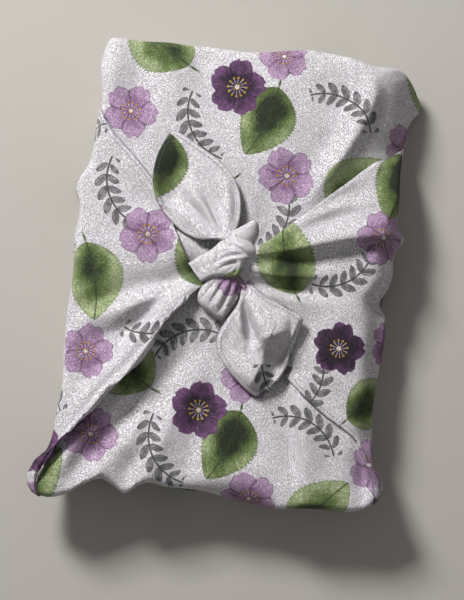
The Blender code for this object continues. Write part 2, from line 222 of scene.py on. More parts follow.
# The wings. Their edges run over the top from the rim to the knot. "places" are where the two
# edges cross the floor, the brim and the rim, as places along the plain rectangle from its lower
# right corner. "rolls" are the radii of the rolled edges there, then midway and at the knot.
# "lift" is how far a wing rises to the knot, with a power of that rise for each edge. The last
# two place it on the flat cloth, with its turn in radians.
LEFT_WING = {
    "first": (
        (-84.5, 81.0), (-71.0, 67.0), (-55.5, 50.0), (-46.5, 35.5), (-37.5, 19.0), (-29.0, 4.5),
        (-20.0, 0.5),
    ),
    "last": (
        (-94.0, -123.0), (-87.8, -110.5), (-70.9, -81.6), (-57.6, -64.6), (-50.9, -54.4),
        (-44.3, -43.7), (-31.1, -25.5), (-18.0, -9.5), (-8.0, -2.0),
    ),
    "places": ((456.0, 724.0), (498.0, 724.0), (507.0, 712.0)),
    "rolls": ((0.4, 0.4), (1.0, 0.8), (1.4, 1.8), (1.1, 2.2), (0.5, 1.5)),
    "lift": 3.6,
    "lift_power": (2.6, 1.0),
    "print_shift": (0.0, 310.0),
    "print_turn": 2.3,
}
RIGHT_WING = {
    "first": (
        (85.0, -98.0), (77.5, -91.5), (59.0, -78.0), (36.0, -57.0), (20.0, -34.0), (9.0, -13.0),
        (0.0, -4.0),
    ),
    "last": (
        (86.0, 86.0), (78.0, 81.0), (62.0, 64.0), (43.0, 45.0), (28.0, 30.5), (13.0, 17.0), (2.0, 12.0),
    ),
    "places": ((5.0, 262.0), (9.0, 224.0), (36.5, 220.0)),
    "rolls": ((1.0, 0.4), (2.8, 0.4), (0.45, 0.5), (0.45, 0.6), (0.45, 1.2)),
    "lift": 6.5,
    "lift_power": (2.0, 1.2),
    "print_shift": (210.0, -120.0),
    "print_turn": -0.9,
}
# The wings lie this far above the flaps
WING_GAP = 0.3
# The share of the flaps' fall that a wing follows at its first edge. It grows to all at the last.
WING_FALL_SHARE = 0.2
WING_FALL_POWER = 12
# How softly the drawn edges of a wing bend to meet the rim
RIM_EASE = 3
# The rolled edges: spreads of the roll and of its shoulder against its radius, and on the wall
# as a share of the wing's width
ROLL_SPREAD = 4.0
SHOULDER_DROP = 0.3
SHOULDER_SPREAD = 1.6
WALL_ROLL_SPREAD = 0.045
# How far an edge is turned back under the wing, most at the middle of its way
LEAST_REACH = 0.8
MORE_REACH = 19.0
REACH_POWER = 0.7
LEFT_WING_FOLDS = (
    # left spread, right spread, roundness, then the path as x, y, rise
    (3.0, 5.0, 1.8, (-44.4, 23.1, 0.5), (-35.6, 9.7, 2.6), (-27.4, 2.2, 3.4)),
    (5.0, 8.0, 1.8, (-22.6, -2.7, -4.0), (-37.1, -8.1, -5.4), (-52.8, -13.5, -5.6),
     (-69.9, -21.6, -5.0), (-90.1, -30.1, -2.6)),
    (5.0, 4.0, 1.8, (-25.8, -11.5, 1.5), (-48.7, -22.1, 2.4), (-82.0, -37.0, 1.6)),
    (7.0, 5.0, 2.0, (-33.9, -14.3, -1.0), (-48.3, -25.7, -2.2), (-59.0, -37.2, -3.8),
     (-69.0, -44.5, -3.6), (-83.9, -51.7, -1.6)),
    (5.0, 7.0, 1.8, (-28.0, 6.0, 1.0), (-44.0, 14.0, 1.0), (-76.0, 30.0, 0.4)),
    (1.0, 2.8, 1.2, (-42.5, 5.6, -0.6), (-55.0, 13.0, -2.0), (-72.0, 22.0, -0.4)),
    (4.5, 4.0, 2.0, (-22.1, -7.5, 0.8), (-36.0, -22.1, 3.0), (-49.3, -40.3, 4.0), (-62.5, -61.2, 4.0),
     (-75.9, -78.2, 3.0), (-91.1, -102.7, 1.0)),
    (1.8, 6.0, 1.6, (-27.5, -5.0, -0.8), (-40.0, -18.5, -2.4), (-56.0, -41.0, -3.2),
     (-80.0, -75.5, -1.6)),
    (6.0, 6.0, 2.0, (-44.0, 24.0, -0.6), (-62.0, 38.0, -1.8), (-88.0, 56.0, -0.6)),
)
RIGHT_WING_FOLDS = (
    # left spread, right spread, roundness, then the path as x, y, rise
    (12.0, 3.8, 1.8, (5.0, 9.1, 0.5), (14.7, 13.2, 3.0), (25.3, 16.0, 5.4), (39.9, 19.9, 7.4),
     (57.3, 25.9, 8.0), (77.8, 31.6, 7.4), (96.9, 33.3, 5.4)),
    (3.0, 5.0, 1.8, (8.2, 7.0, -0.2), (17.1, 8.7, -0.6), (28.9, 10.7, -1.0), (43.6, 14.3, -1.1),
     (64.0, 20.3, -1.1), (81.6, 25.4, -1.1), (99.5, 27.0, -0.8)),
    (5.0, 2.6, 1.8, (7.7, 1.5, 0.8), (16.2, 1.3, 2.4), (28.3, 1.0, 3.6), (42.0, 2.9, 2.8),
     (56.7, 5.6, 1.0), (68.5, 8.2, 0.0)),
    (4.0, 4.5, 1.8, (9.6, -4.9, -3.6), (19.4, -5.5, -4.2), (32.1, -5.8, -4.2), (46.0, -5.4, -3.6),
     (59.2, -5.0, -2.0), (71.3, -5.4, 0.0)),
    (0.8, 0.8, 1.5, (6.6, 0.8, -0.4), (11.5, 0.2, -0.9), (17.5, 0.3, 0.0)),
    (1.2, 1.6, 1.5, (8.0, -6.3, -0.5), (14.9, -8.5, -1.0), (22.6, -11.8, 0.0)),
    (8.0, 8.0, 2.4, (9.2, -21.3, -3.5), (14.6, -31.5, -6.0), (24.4, -42.4, -6.0), (31.2, -53.7, -4.0)),
    (1.2, 1.2, 1.8, (4.7, 6.0, 0.6), (7.6, 7.0, 1.0), (11.1, 8.0, 0.0)),
    (3.5, 4.0, 2.0, (7.8, 41.4, -0.6), (12.7, 30.5, -2.0), (16.9, 20.7, -2.6), (18.6, 16.1, -0.6)),
    (4.5, 3.5, 1.8, (20.1, 18.7, 0.4), (29.9, 27.7, 1.4), (43.7, 39.0, 1.8), (60.6, 48.9, 1.2)),
    (5.0, 5.0, 2.0, (36.1, 26.7, 0.0), (50.1, 35.6, -1.8), (64.5, 42.1, -2.0), (79.1, 46.3, -1.0)),
    (3.0, 4.0, 1.8, (8.8, -8.0, 1.2), (23.6, -10.5, 2.0), (44.4, -12.8, 0.8)),
    (4.0, 7.0, 1.8, (35.4, 32.6, 0.2), (60.8, 47.1, 1.4), (91.7, 56.9, 1.0)),
    (4.0, 4.0, 2.0, (34.8, 37.4, -0.1), (60.1, 53.7, -0.5), (90.4, 68.2, -0.4)),
    (7.0, 8.0, 2.0, (10.1, -13.9, 0.8), (34.1, -32.2, 1.8), (65.9, -56.2, 1.0)),
    (3.0, 5.0, 1.8, (83.4, -91.6, 0.6), (90.5, -99.8, 5.0), (97.8, -111.0, 7.5), (99.8, -122.8, 5.0)),
)

# The free ends: sections from the knot to the tip
LEFT_TAIL = (
    # left x, y, z, middle rise, right x, y, z
    (-11.7, 17.3, 51.0, 1.5, 0.0, 15.1, 52.0),
    (-16.5, 17.1, 51.4, 2.0, -3.1, 20.8, 52.6),
    (-23.8, 16.8, 49.6, 1.5, -1.9, 25.8, 51.0),
    (-35.1, 20.9, 46.6, 1.0, -0.9, 33.1, 49.2),
    (-45.8, 29.6, 45.8, 0.5, -1.3, 41.5, 47.6),
    (-51.5, 36.8, 47.2, 0.3, -3.1, 48.6, 46.6),
    (-54.7, 45.4, 48.2, 0.2, -6.2, 54.8, 46.0),
    (-55.7, 54.4, 48.4, 0.0, -11.5, 60.9, 45.6),
    (-54.7, 63.6, 47.8, 0.0, -19.2, 66.9, 45.3),
    (-52.1, 71.7, 46.6, 0.0, -29.2, 72.4, 45.0),
    (-49.2, 77.8, 45.4, 0.0, -39.5, 78.1, 45.0),
    (-47.1, 80.8, 44.4, 0.0, -45.3, 80.7, 44.6),
)
LEFT_TAIL_FOLDS = (
    # left spread, right spread, roundness, then the path as x, y, rise
    (4.0, 4.5, 1.8, (-8.4, 20.1, 0.6), (-8.2, 31.0, 2.8), (-8.9, 41.8, 2.8), (-11.7, 52.4, 1.2),
     (-16.4, 61.5, 0.0)),
    (1.3, 1.3, 1.4, (-9.6, 20.0, -1.2), (-15.5, 30.8, -3.2), (-21.0, 39.2, -2.4), (-27.4, 47.5, 0.0)),
    (3.2, 3.6, 1.8, (-12.0, 19.7, 0.6), (-19.8, 31.5, 3.2), (-27.1, 39.7, 3.2), (-35.2, 47.2, 1.6),
     (-44.6, 54.5, 0.0)),
    (1.2, 1.6, 1.4, (-15.0, 19.4, -1.0), (-23.2, 29.9, -2.8), (-31.0, 36.8, -1.8), (-38.1, 40.8, 0.0)),
    (2.6, 3.0, 1.8, (-18.4, 17.7, 0.6), (-27.8, 25.7, 2.2), (-37.0, 31.8, 2.0), (-46.2, 37.4, 0.0)),
    (1.4, 1.6, 1.5, (-21.2, 15.6, -0.7), (-30.9, 21.1, -1.6), (-40.1, 27.2, 0.0)),
    (10.0, 6.5, 2.0, (-32.7, 26.3, 0.0), (-38.7, 35.9, -3.6), (-40.5, 45.9, -6.2), (-39.4, 56.9, -5.0),
     (-38.9, 67.9, 0.0)),
    (2.6, 2.4, 2.0, (-2.2, 23.3, 0.0), (-2.8, 33.5, -1.4), (-4.6, 43.6, -2.0), (-8.8, 53.9, 0.0)),
    (3.5, 4.5, 2.0, (-14.1, 42.4, 0.0), (-19.9, 50.2, 0.9), (-27.6, 58.9, 0.8), (-35.1, 66.5, 0.0)),
)
RIGHT_TAIL = (
    (4.1, -3.7, 46.0, 1.0, 8.8, -2.6, 46.0),
    (4.6, -10.3, 49.4, 1.2, 14.3, -8.6, 49.0),
    (4.4, -16.4, 50.2, 1.4, 21.5, -13.4, 49.8),
    (2.3, -22.1, 49.2, 1.6, 29.1, -15.9, 49.4),
    (-0.9, -27.6, 48.2, 1.6, 36.7, -18.9, 48.2),
    (-4.1, -33.7, 47.2, 1.6, 43.2, -22.6, 47.6),
    (-6.1, -40.0, 46.6, 1.6, 42.8, -29.3, 47.2),
    (-5.7, -46.0, 46.0, 1.6, 40.9, -36.8, 46.8),
    (-2.9, -51.7, 45.6, 1.4, 38.7, -43.7, 46.5),
    (2.1, -58.1, 45.2, 1.2, 37.5, -51.1, 46.0),
    (8.5, -63.9, 44.8, 1.0, 35.2, -57.4, 45.6),
    (15.5, -69.4, 44.4, 0.5, 30.7, -64.6, 45.0),
    (20.7, -72.2, 44.0, 0.0, 23.6, -70.9, 44.2),
)
RIGHT_TAIL_FOLDS = (
    # left spread, right spread, roundness, then the path as x, y, rise
    (2.6, 6.0, 1.8, (2.7, -17.2, 2.0), (5.4, -24.7, 4.5), (7.6, -33.5, 5.0), (10.4, -41.7, 2.0)),
    (1.6, 4.6, 1.6, (5.3, -13.9, -0.6), (8.6, -21.3, -5.0), (12.6, -29.9, -7.5), (16.5, -37.3, -6.5),
     (19.6, -43.0, 0.0)),
    (3.0, 4.0, 1.8, (4.0, -18.3, 0.4), (0.4, -28.4, 1.6), (-3.9, -38.5, 2.0), (-3.3, -48.1, 1.2),
     (2.6, -57.1, 0.0)),
    (9.0, 2.4, 1.8, (8.8, -12.9, 0.4), (13.4, -21.4, 2.6), (17.4, -29.3, 3.4), (20.6, -35.6, 1.0)),
    (14.0, 7.0, 1.7, (16.0, -42.8, 0.0), (19.7, -38.7, 6.0), (24.2, -35.8, 9.5), (30.5, -33.2, 9.5),
     (37.1, -32.4, 4.5)),
    (2.6, 12.0, 1.8, (36.0, -38.6, -1.6), (33.9, -46.1, -4.4), (31.8, -53.6, -5.2), (27.9, -61.3, -4.2),
     (22.6, -68.0, 0.0)),
    (4.2, 12.0, 1.8, (22.3, -49.9, 5.0), (21.0, -54.9, 7.6), (17.8, -63.1, 6.0), (14.9, -69.5, 0.5)),
    (1.6, 3.0, 2.0, (18.0, -14.2, 0.0), (29.9, -17.6, 0.8), (41.4, -22.9, 0.4)),
)

# The knot. The tuck is the small point behind it, the band is the turn that lies on top, from its
# pleated end on the left, and the fan is the gathered cloth that comes out below it.
TUCK = (
    (-8.8, 17.7, 52.0, 2.6, 7.4, 13.6, 51.0),
    (-6.2, 21.6, 52.6, 3.2, 9.9, 18.1, 51.0),
    (-2.4, 24.8, 53.0, 3.2, 11.2, 22.5, 51.2),
    (2.1, 28.0, 53.4, 2.8, 11.3, 26.7, 51.4),
    (5.7, 30.6, 53.6, 1.8, 10.7, 29.1, 52.0),
    (7.7, 31.7, 53.6, 0.6, 9.3, 31.0, 52.8),
)
BAND = (
    (-28.3, 1.5, 51.6, 0.6, -19.2, -8.9, 51.8),
    (-24.4, 4.6, 52.2, 1.2, -16.4, -7.1, 52.8),
    (-20.0, 7.9, 52.6, 2.0, -12.7, -5.1, 54.0),
    (-15.3, 11.5, 53.0, 2.8, -8.0, -4.3, 55.0),
    (-11.6, 15.8, 52.8, 3.6, -3.1, -4.3, 55.6),
    (-7.6, 20.8, 52.2, 4.4, 1.4, -3.8, 55.6),
    (-1.8, 23.0, 51.8, 5.0, 3.9, 0.2, 55.2),
    (4.4, 21.4, 51.2, 4.8, 4.7, 3.6, 54.6),
    (9.0, 18.0, 50.4, 4.2, 5.4, 5.8, 53.4),
    (11.9, 14.1, 49.2, 3.2, 7.0, 7.2, 51.8),
    (12.1, 9.9, 47.6, 2.0, 8.8, 7.4, 49.8),
)
BAND_FOLDS = (
    # left spread, right spread, roundness, then the path as x, y, rise
    (0.9, 1.8, 1.5, (-23.5, 4.4, -0.9), (-19.3, 0.1, -1.4), (-14.1, -3.8, -0.6)),
    (0.9, 1.8, 1.5, (-19.6, 7.6, -1.1), (-16.0, 2.6, -1.5), (-12.2, -1.5, -0.6)),
    (0.8, 1.4, 1.5, (-26.8, 1.6, -0.4), (-22.4, -2.4, -0.9), (-17.4, -6.0, -0.4)),
    (2.2, 0.8, 1.5, (-11.8, 12.8, -1.6), (-12.0, 7.0, -1.4), (-11.7, 2.2, -0.2)),
    (0.8, 1.4, 1.4, (-10.3, 15.7, 0.0), (-3.6, 14.7, -1.2), (2.7, 12.4, -1.4), (8.6, 8.9, -0.8)),
    (1.4, 0.8, 1.4, (-14.7, 1.3, 0.0), (-9.1, 5.6, -1.5), (-3.4, 8.4, -1.9), (3.1, 9.7, -1.9),
     (8.6, 8.9, -1.2)),
    (1.1, 1.3, 1.8, (-12.8, 0.9, 0.0), (-7.2, 4.5, 1.0), (-0.8, 7.0, 1.2), (5.7, 8.2, 0.6)),
    (0.9, 0.9, 1.5, (-11.8, -2.6, 0.0), (-6.8, 1.6, -1.0), (-1.1, 4.2, -1.0), (1.2, 5.3, 0.0)),
    (0.9, 0.9, 1.5, (-5.7, -3.1, 0.0), (-2.5, 0.9, -0.7), (0.1, 3.9, -0.4)),
    (1.3, 1.2, 2.0, (1.8, 5.3, 0.4), (3.4, 2.2, 1.5), (2.1, -2.2, 1.0)),
    (1.3, 1.2, 2.0, (-0.1, 3.0, -0.2), (0.6, 0.1, -1.4), (-1.1, -3.2, -0.4)),
    (0.8, 1.2, 1.5, (-6.7, 21.0, 0.0), (-0.6, 20.5, -0.7), (5.8, 17.6, -0.6), (9.2, 13.8, 0.0)),
    (1.6, 1.6, 2.0, (-9.3, 12.2, 0.0), (-4.4, 11.6, 0.6), (0.5, 10.6, 0.0)),
)
FAN = (
    (-12.4, -2.1, 50.4, 1.5, 3.7, 2.2, 51.4),
    (-16.7, -6.8, 49.6, 2.6, 4.3, -3.1, 51.0),
    (-19.8, -11.4, 48.2, 3.6, 4.9, -7.9, 50.2),
    (-21.0, -16.4, 47.0, 4.2, 4.8, -12.1, 49.0),
    (-18.9, -21.3, 46.0, 4.4, 3.8, -17.1, 47.8),
    (-14.2, -25.3, 45.2, 4.0, 1.7, -21.6, 46.6),
    (-9.0, -28.3, 44.4, 2.8, -0.9, -25.8, 45.4),
    (-5.5, -29.7, 43.6, 1.0, -3.2, -28.8, 44.0),
)
FAN_FOLDS = (
    # left spread, right spread, roundness, then the path as x, y, rise
    (1.7, 0.9, 1.5, (2.7, -2.7, -0.8), (2.5, -10.6, -1.9), (0.7, -18.6, -1.8), (-2.3, -26.3, -0.4)),
    (1.8, 0.9, 1.5, (-0.7, -4.3, -0.8), (-2.3, -11.2, -1.8), (-4.9, -19.3, -1.7), (-7.7, -26.3, -0.2)),
    (1.6, 0.9, 1.5, (-4.9, -4.8, -0.8), (-8.6, -11.9, -1.5), (-12.7, -20.2, -0.8)),
    (1.4, 0.9, 1.5, (-9.0, -5.3, -0.6), (-14.0, -11.9, -1.1), (-18.3, -18.5, -0.4)),
    (1.4, 1.4, 2.0, (1.2, -4.7, 0.3), (0.5, -11.4, 0.8), (-1.9, -19.6, 0.6)),
    (1.8, 1.6, 2.0, (-2.4, -5.1, 0.3), (-5.2, -12.1, 0.8), (-8.5, -20.3, 0.6)),
    (0.7, 0.7, 1.6, (0.8, -6.6, 0.0), (-0.1, -14.5, -0.6), (-2.2, -22.0, 0.0)),
    (0.7, 0.7, 1.6, (-5.6, -9.1, 0.0), (-9.5, -16.8, -0.6), (-12.3, -23.2, 0.0)),
)

# Small unevenness all over: wavelength, direction, phase, height
RIPPLES = (
    (46.0, 0.3, 0.4, 0.26),
    (37.0, 1.4, 2.1, 0.22),
    (31.0, 2.2, 4.0, 0.18),
    (24.0, 0.9, 1.3, 0.14),
    (19.0, 2.8, 5.2, 0.1),
    (15.0, 1.9, 0.2, 0.08),
)
# The ripples wind a little: how far and over what length, as shares of the wavelength
RIPPLE_BEND = 0.16
RIPPLE_BEND_LENGTH = 1.7

# The free ends and the parts of the knot
FREE_END_ARCH = 2.0
# The stiff hem loses this share of the folds at its very edge
STIFF_HEM = 0.65
HEM_WIDTH = 3.0
SHEET_RIPPLE = 0.6
SHEET_RIPPLE_FINENESS = 1.7
EDGE_DROP = 0.9
EDGE_DROP_WIDTH = 0.9

# The print, which repeats over the flat cloth. Each row is one copy of a motif.
REPEAT = (172.0, 196.0)
SPRIGS = (
    # x, y, turn in degrees, size, tone
    (26.0, 30.0, 20.0, 1.0, 0.1),
    (136.0, 82.0, 150.0, 1.0, 0.2),
    (56.0, 112.0, -65.0, 0.95, 0.15),
    (148.0, 158.0, 250.0, 1.0, 0.0),
    (84.0, 24.0, 105.0, 0.95, 0.2),
    (20.0, 186.0, 80.0, 0.9, 0.1),
)
LEAVES = (
    (66.0, 62.0, 35.0, 1.15, 0.0),
    (8.0, 92.0, 200.0, 1.1, 0.4),
    (108.0, 136.0, -50.0, 1.25, -0.2),
    (44.0, 158.0, 110.0, 1.0, 0.1),
    (146.0, 42.0, -120.0, 1.1, 0.5),
)
BLOSSOMS = (
    (116.0, 28.0, 10.0, 1.15, 0.0),
    (50.0, 0.0, 40.0, 1.1, 1.3),
    (24.0, 62.0, 25.0, 1.2, -0.3),
    (160.0, 112.0, 60.0, 1.2, 1.0),
    (98.0, 90.0, 5.0, 1.15, 0.0),
    (78.0, 172.0, 50.0, 1.15, 0.3),
    (14.0, 134.0, 33.0, 1.05, -0.4),
    (118.0, 182.0, 15.0, 1.1, 1.2),
)
# The noise of each copy starts this much further on than the one before
SEED_STEP = 3.7
DYE_COVER = 0.97

# Dyes of the print, the stitches' thread and a painted shade along the hem's edge, as painter's codes
PALE_PETAL = "c9a8c9"
PETAL = "8a5a8c"
DARK_PETAL = "200823"
PETAL_EDGE = "522a53"
PETAL_GAP = "3a173b"
STAMEN_THREAD = "e3d6e6"
STAMEN_TIP = "c9a23c"
BLOSSOM_HEART = "a8782c"
PALE_LEAF = "b4c290"
LEAF = "708546"
DARK_LEAF = "182a05"
LEAF_RIB = "3f5723"
LEAF_EDGE = "41592a"
LEAF_STEM = "2f4219"
PALE_WASH = "b9b6b9"
WASH = "757276"
WASH_EDGE = "3d3a3d"
WASH_RIB = "4b484a"
WASH_STEM = "565355"
STITCH = "8f8893"
# Painted shade: the colour that darkens the very edge of every hem, where its fold would lie in shade
HEM_EDGE_SHADE = "6f6872"

# The crepe: two whites in soft clouds, and its pebbles, whose depth also sets a painted shade in the pits
# between them
DULL_WHITE = (0.83, 0.79, 0.824, 1.0)
WHITE = (0.87, 0.83, 0.862, 1.0)
CLOUDS_PER_METRE = 60.0
PEBBLES_PER_METRE = 2300.0
PEBBLE_STRETCH = (0.42, 0.71)
GRAIN_DEPTH = 1.3
# The hem: how far its inner fold and its stitches lie from the edge, then the stitches' measures
HEM_FOLD = 2.9
STITCH_LINE = 2.5
STITCH_WIDTH = 0.32
STITCH_STEP = 2.3

# The studio. Angles are in degrees, and the light's size and distance in metres.
FLOOR_COLOUR = (0.40, 0.375, 0.34, 1.0)
ROOM_LIGHT = 0.25
KEY_AZIMUTH = 130.0
KEY_ELEVATION = 38.0
KEY_DISTANCE = 1.7
KEY_SIZE = 0.39
KEY_POWER = 42.5
CAMERA_TARGET = np.array((1.9, -12.7, 38.0))
CAMERA_DISTANCE = 1120.0
CAMERA_LEAN = 6.8
CAMERA_BACK = 4.0


def smooth_curve(points, count):
    """Evenly spaced points on the smooth open curve through the given ones."""
    knots = np.array(points, float)
    ends = np.vstack((2 * knots[0] - knots[1], knots, 2 * knots[-1] - knots[-2]))
    step = np.linspace(0.0, 1.0, CURVE_STEPS + 1)[:-1, None]
    runs = []
    for before, start, end, after in zip(ends, ends[1:], ends[2:], ends[3:]):
        bend = 2 * before - 5 * start + 4 * end - after
        twist = 3 * (start - end) + after - before
        runs.append(start + 0.5 * step * (end - before + step * (bend + step * twist)))
    dense = np.vstack(runs + [knots[-1:]])
    lengths = np.linalg.norm(np.diff(dense, axis=0), axis=1)
    travelled = np.concatenate(([0.0], np.cumsum(lengths)))
    wanted = np.linspace(0.0, travelled[-1], count)
    return np.column_stack([np.interp(wanted, travelled, column) for column in dense.T])


def nearest_on_line(flat, line):
    """For each point, its distance to a line, its place along it, and whether it lies to its left."""
    starts = line[:-1, :2]
    runs = line[1:, :2] - starts
    to_point = flat[:, None] - starts
    share = np.clip((to_point * runs).sum(-1) / (runs * runs).sum(-1), 0.0, 1.0)
    away = to_point - share[..., None] * runs
    distance = np.linalg.norm(away, axis=-1)
    nearest = distance.argmin(axis=1)
    rows = np.arange(len(flat))
    offset = away[rows, nearest]
    run = runs[nearest]
    turn = run[:, 0] * offset[:, 1] - run[:, 1] * offset[:, 0]
    place = (nearest + share[rows, nearest]) / (len(line) - 1)
    return distance[rows, nearest], place, turn > 0


def bell(distance, spread, roundness=2.0):
    """1 at no distance, falling off over the spread."""
    return np.exp(-((distance / spread) ** roundness))


def fold_rise(plan, folds):
    """The height that a table of folds adds at each point of the plan."""
    flat = plan.reshape(-1, 2)
    rise = np.zeros(len(flat))
    for left_spread, right_spread, roundness, *path in folds:
        line = smooth_curve(path, FOLD_STEPS)
        distance, place, on_left = nearest_on_line(flat, line)
        spread = np.where(on_left, left_spread, right_spread)
        height = np.interp(place, np.linspace(0, 1, len(line)), line[:, 2])
        rise += height * bell(distance, spread, roundness)
    return rise.reshape(plan.shape[:-1])


def unevenness(plan):
    """Soft ripples all over the cloth."""
    height = np.zeros(plan.shape[:-1])
    for length, direction, phase, rise in RIPPLES:
        along = plan[..., 0] * math.cos(direction) + plan[..., 1] * math.sin(direction)
        across = plan[..., 1] * math.cos(direction) - plan[..., 0] * math.sin(direction)
        winding = np.sin(across * 2 * math.pi / (length * RIPPLE_BEND_LENGTH) + phase * 2)
        bent = along + RIPPLE_BEND * length * winding
        height += rise * np.sin(bent * 2 * math.pi / length + phase)
    return height


def rim_drop(plan):
    """How far the cloth hangs below the top near a soft rim."""
    flat = plan.reshape(-1, 2)
    drop = np.zeros(len(flat))
    for depth, spread, *path in RIM_DROPS:
        away, _, _ = nearest_on_line(flat, smooth_curve(path, DROP_STEPS))
        drop += depth * bell(away, spread)
    return drop.reshape(plan.shape[:-1])


def fall(plan):
    """How far the cloth has fallen away beyond the crest."""
    line = smooth_curve(CREST, CREST_STEPS)
    distance, place, beyond = nearest_on_line(plan.reshape(-1, 2), line)
    slope = np.interp(place, np.linspace(0, 1, len(line)), line[:, 2])
    run = np.sqrt(distance**2 + CREST_ROUNDING**2) - CREST_ROUNDING
    return np.where(beyond, slope * run, 0.0).reshape(plan.shape[:-1])


def flap_top(plan, fall_share=1.0):
    """The height of the flaps' outer face, or of a wing that follows only a share of its fall."""
    level = TOP + fold_rise(plan, FLAP_FOLDS) + unevenness(plan)
    return level - rim_drop(plan) - fall_share * fall(plan)


def under_wings(plan):
    """How far the flaps sink below the valleys of the wings that lie on them."""
    left = np.minimum(fold_rise(plan, LEFT_WING_FOLDS), 0.0)
    right = np.minimum(fold_rise(plan, RIGHT_WING_FOLDS), 0.0)
    return left + right


def side_ends():
    """Places of the corners along the plain rectangle, from the lower right one."""
    sides = (2 * HALF_LENGTH, 2 * HALF_WIDTH, 2 * HALF_LENGTH, 2 * HALF_WIDTH)
    return np.concatenate(([0.0], np.cumsum(sides)))


def plain_rim(place, inset):
    """A point and the outward direction on the drawn-in rectangle, at a place along it."""
    ends = side_ends()
    place = np.mod(place, ends[-1])
    corner = np.abs(place[..., None] - ends).argmin(axis=-1) % 4
    radius = np.maximum(np.array(CORNERS)[corner] - inset, SMALLEST_CORNER)
    x = np.interp(place, ends, (1, 1, -1, -1, 1)) * (HALF_WIDTH - inset)
    y = np.interp(place, ends, (-1, 1, 1, -1, -1)) * (HALF_LENGTH - inset)
    point = np.stack((x, y), axis=-1)
    inner = np.stack((HALF_WIDTH - inset - radius, HALF_LENGTH - inset - radius), axis=-1)
    middle = np.clip(point, -inner, inner)
    away = point - middle
    away /= np.linalg.norm(away, axis=-1)[..., None]
    return middle + away * radius[..., None], away


def outline(place, inset, swell_share):
    """The parcel's outline with its swells, drawn in by an inset, and its outward direction."""
    rim, outward = plain_rim(place, 0.0)
    out = np.zeros(place.shape)
    for x, y, reach, spread in RIM_SWELLS:
        out += reach * bell(np.linalg.norm(rim - (x, y), axis=-1), spread)
    drawn_in, _ = plain_rim(place, inset)
    return drawn_in + outward * (out * swell_share)[..., None], outward


def mouth(place):
    """The edge of the mouth between the flaps, in step with the outline."""
    ends = side_ends()
    turn = np.interp(np.mod(place, ends[-1]), ends, MOUTH_TURNS)
    oval = np.stack((np.cos(turn) * MOUTH_HALF_LENGTH, np.sin(turn) * MOUTH_HALF_WIDTH), axis=-1)
    return oval + MOUTH_CENTRE


def grid_normals(points, closed):
    """Unit normals of a grid of points, whose rows may be closed rings."""
    along = np.gradient(points, axis=0)
    if closed:
        across = (np.roll(points, -1, axis=1) - np.roll(points, 1, axis=1)) / 2
    else:
        across = np.gradient(points, axis=1)
    normals = np.cross(across, along)
    length = np.linalg.norm(normals, axis=-1)[..., None]
    return normals / np.maximum(length, SHORTEST)


def grid_faces(rows, columns, closed):
    """The faces of a grid whose rows may each be a closed ring."""
    faces = []
    for low in range(0, (rows - 1) * columns, columns):
        high = low + columns
        for column in range(columns if closed else columns - 1):
            beside = (column + 1) % columns
            faces.append((low + column, low + beside, high + beside, high + column))
    return faces


def grid_edge(rows, columns, closed):
    """The points round an open grid, or back along the last ring of a closed one."""
    size = rows * columns
    if closed:
        return list(range(size - 1, size - columns - 1, -1))
    bottom = list(range(columns))
    right = [row * columns + columns - 1 for row in range(1, rows)]
    top = [size - 1 - step for step in range(1, columns)]
    left = [row * columns for row in range(rows - 2, 0, -1)]
    return bottom + right + top + left


class Cloth:
    """Layers of cloth gathered into one mesh, with flat-cloth coordinates and places along the hem."""

    def __init__(self):
        self.points = []
        self.prints = []
        self.hems = []
        self.faces = []
        self.count = 0

    def add_sheet(self, points, prints, hems=None, closed=False):
        """Add a grid as a sheet with a thickness. A closed one is capped at its first ring."""
        rows, columns = points.shape[:2]
        size = rows * columns
        if hems is None:
            hems = np.full((rows, columns, 2), NO_HEM)
        inner = points - grid_normals(points, closed) * THICKNESS
        faces = grid_faces(rows, columns, closed)
        faces += [tuple(corner + size for corner in reversed(face)) for face in faces]
        edge = grid_edge(rows, columns, closed)
        faces += [(end, start, start + size, end + size) for start, end in zip(edge, edge[1:] + edge[:1])]
        if closed:
            faces.append(tuple(reversed(range(columns))))
            faces.append(tuple(range(size, size + columns)))
        self.faces.extend(tuple(self.count + corner for corner in face) for face in faces)
        self.points.append(np.concatenate((points.reshape(-1, 3), inner.reshape(-1, 3))))
        self.prints.append(np.tile(prints.reshape(-1, 2), (2, 1)))
        self.hems.append(np.tile(hems.reshape(-1, 2), (2, 1)))
        self.count += 2 * size

    def piece(self, title):
        """Make the object, in metres and centred on the frame's origin."""
        points = np.concatenate(self.points)
        points[:, :2] -= PLAN_CENTRE
        mesh = bpy.data.meshes.new(title)
        mesh.from_pydata((points * MM).tolist(), [], self.faces)
        prints = np.concatenate(self.prints) * MM
        corners = np.zeros(len(mesh.loops), int)
        mesh.loops.foreach_get("vertex_index", corners)
        layer = mesh.uv_layers.new(name="flat_cloth")
        layer.data.foreach_set("uv", prints[corners].astype(np.float32).ravel())
        for name, values in zip(("hem_distance", "hem_run"), np.concatenate(self.hems).T):
            hem = mesh.attributes.new(name, "FLOAT", "POINT")
            hem.data.foreach_set("value", values.astype(np.float32))
        mesh.shade_smooth()
        piece = bpy.data.objects.new(title, mesh)
        bpy.context.scene.collection.objects.link(piece)
        return piece


def wall_ripple(place, height):
    """How far the soft folds of the wall stand out, fading to the floor and the rim."""
    out = np.zeros(place.shape)
    for length, slant, phase, depth in WALL_RIPPLES:
        out += depth * np.sin((place - slant * height / TOP) * 2 * math.pi / length + phase)
    return out * math.sin(math.pi * min(height / TOP, 1.0))


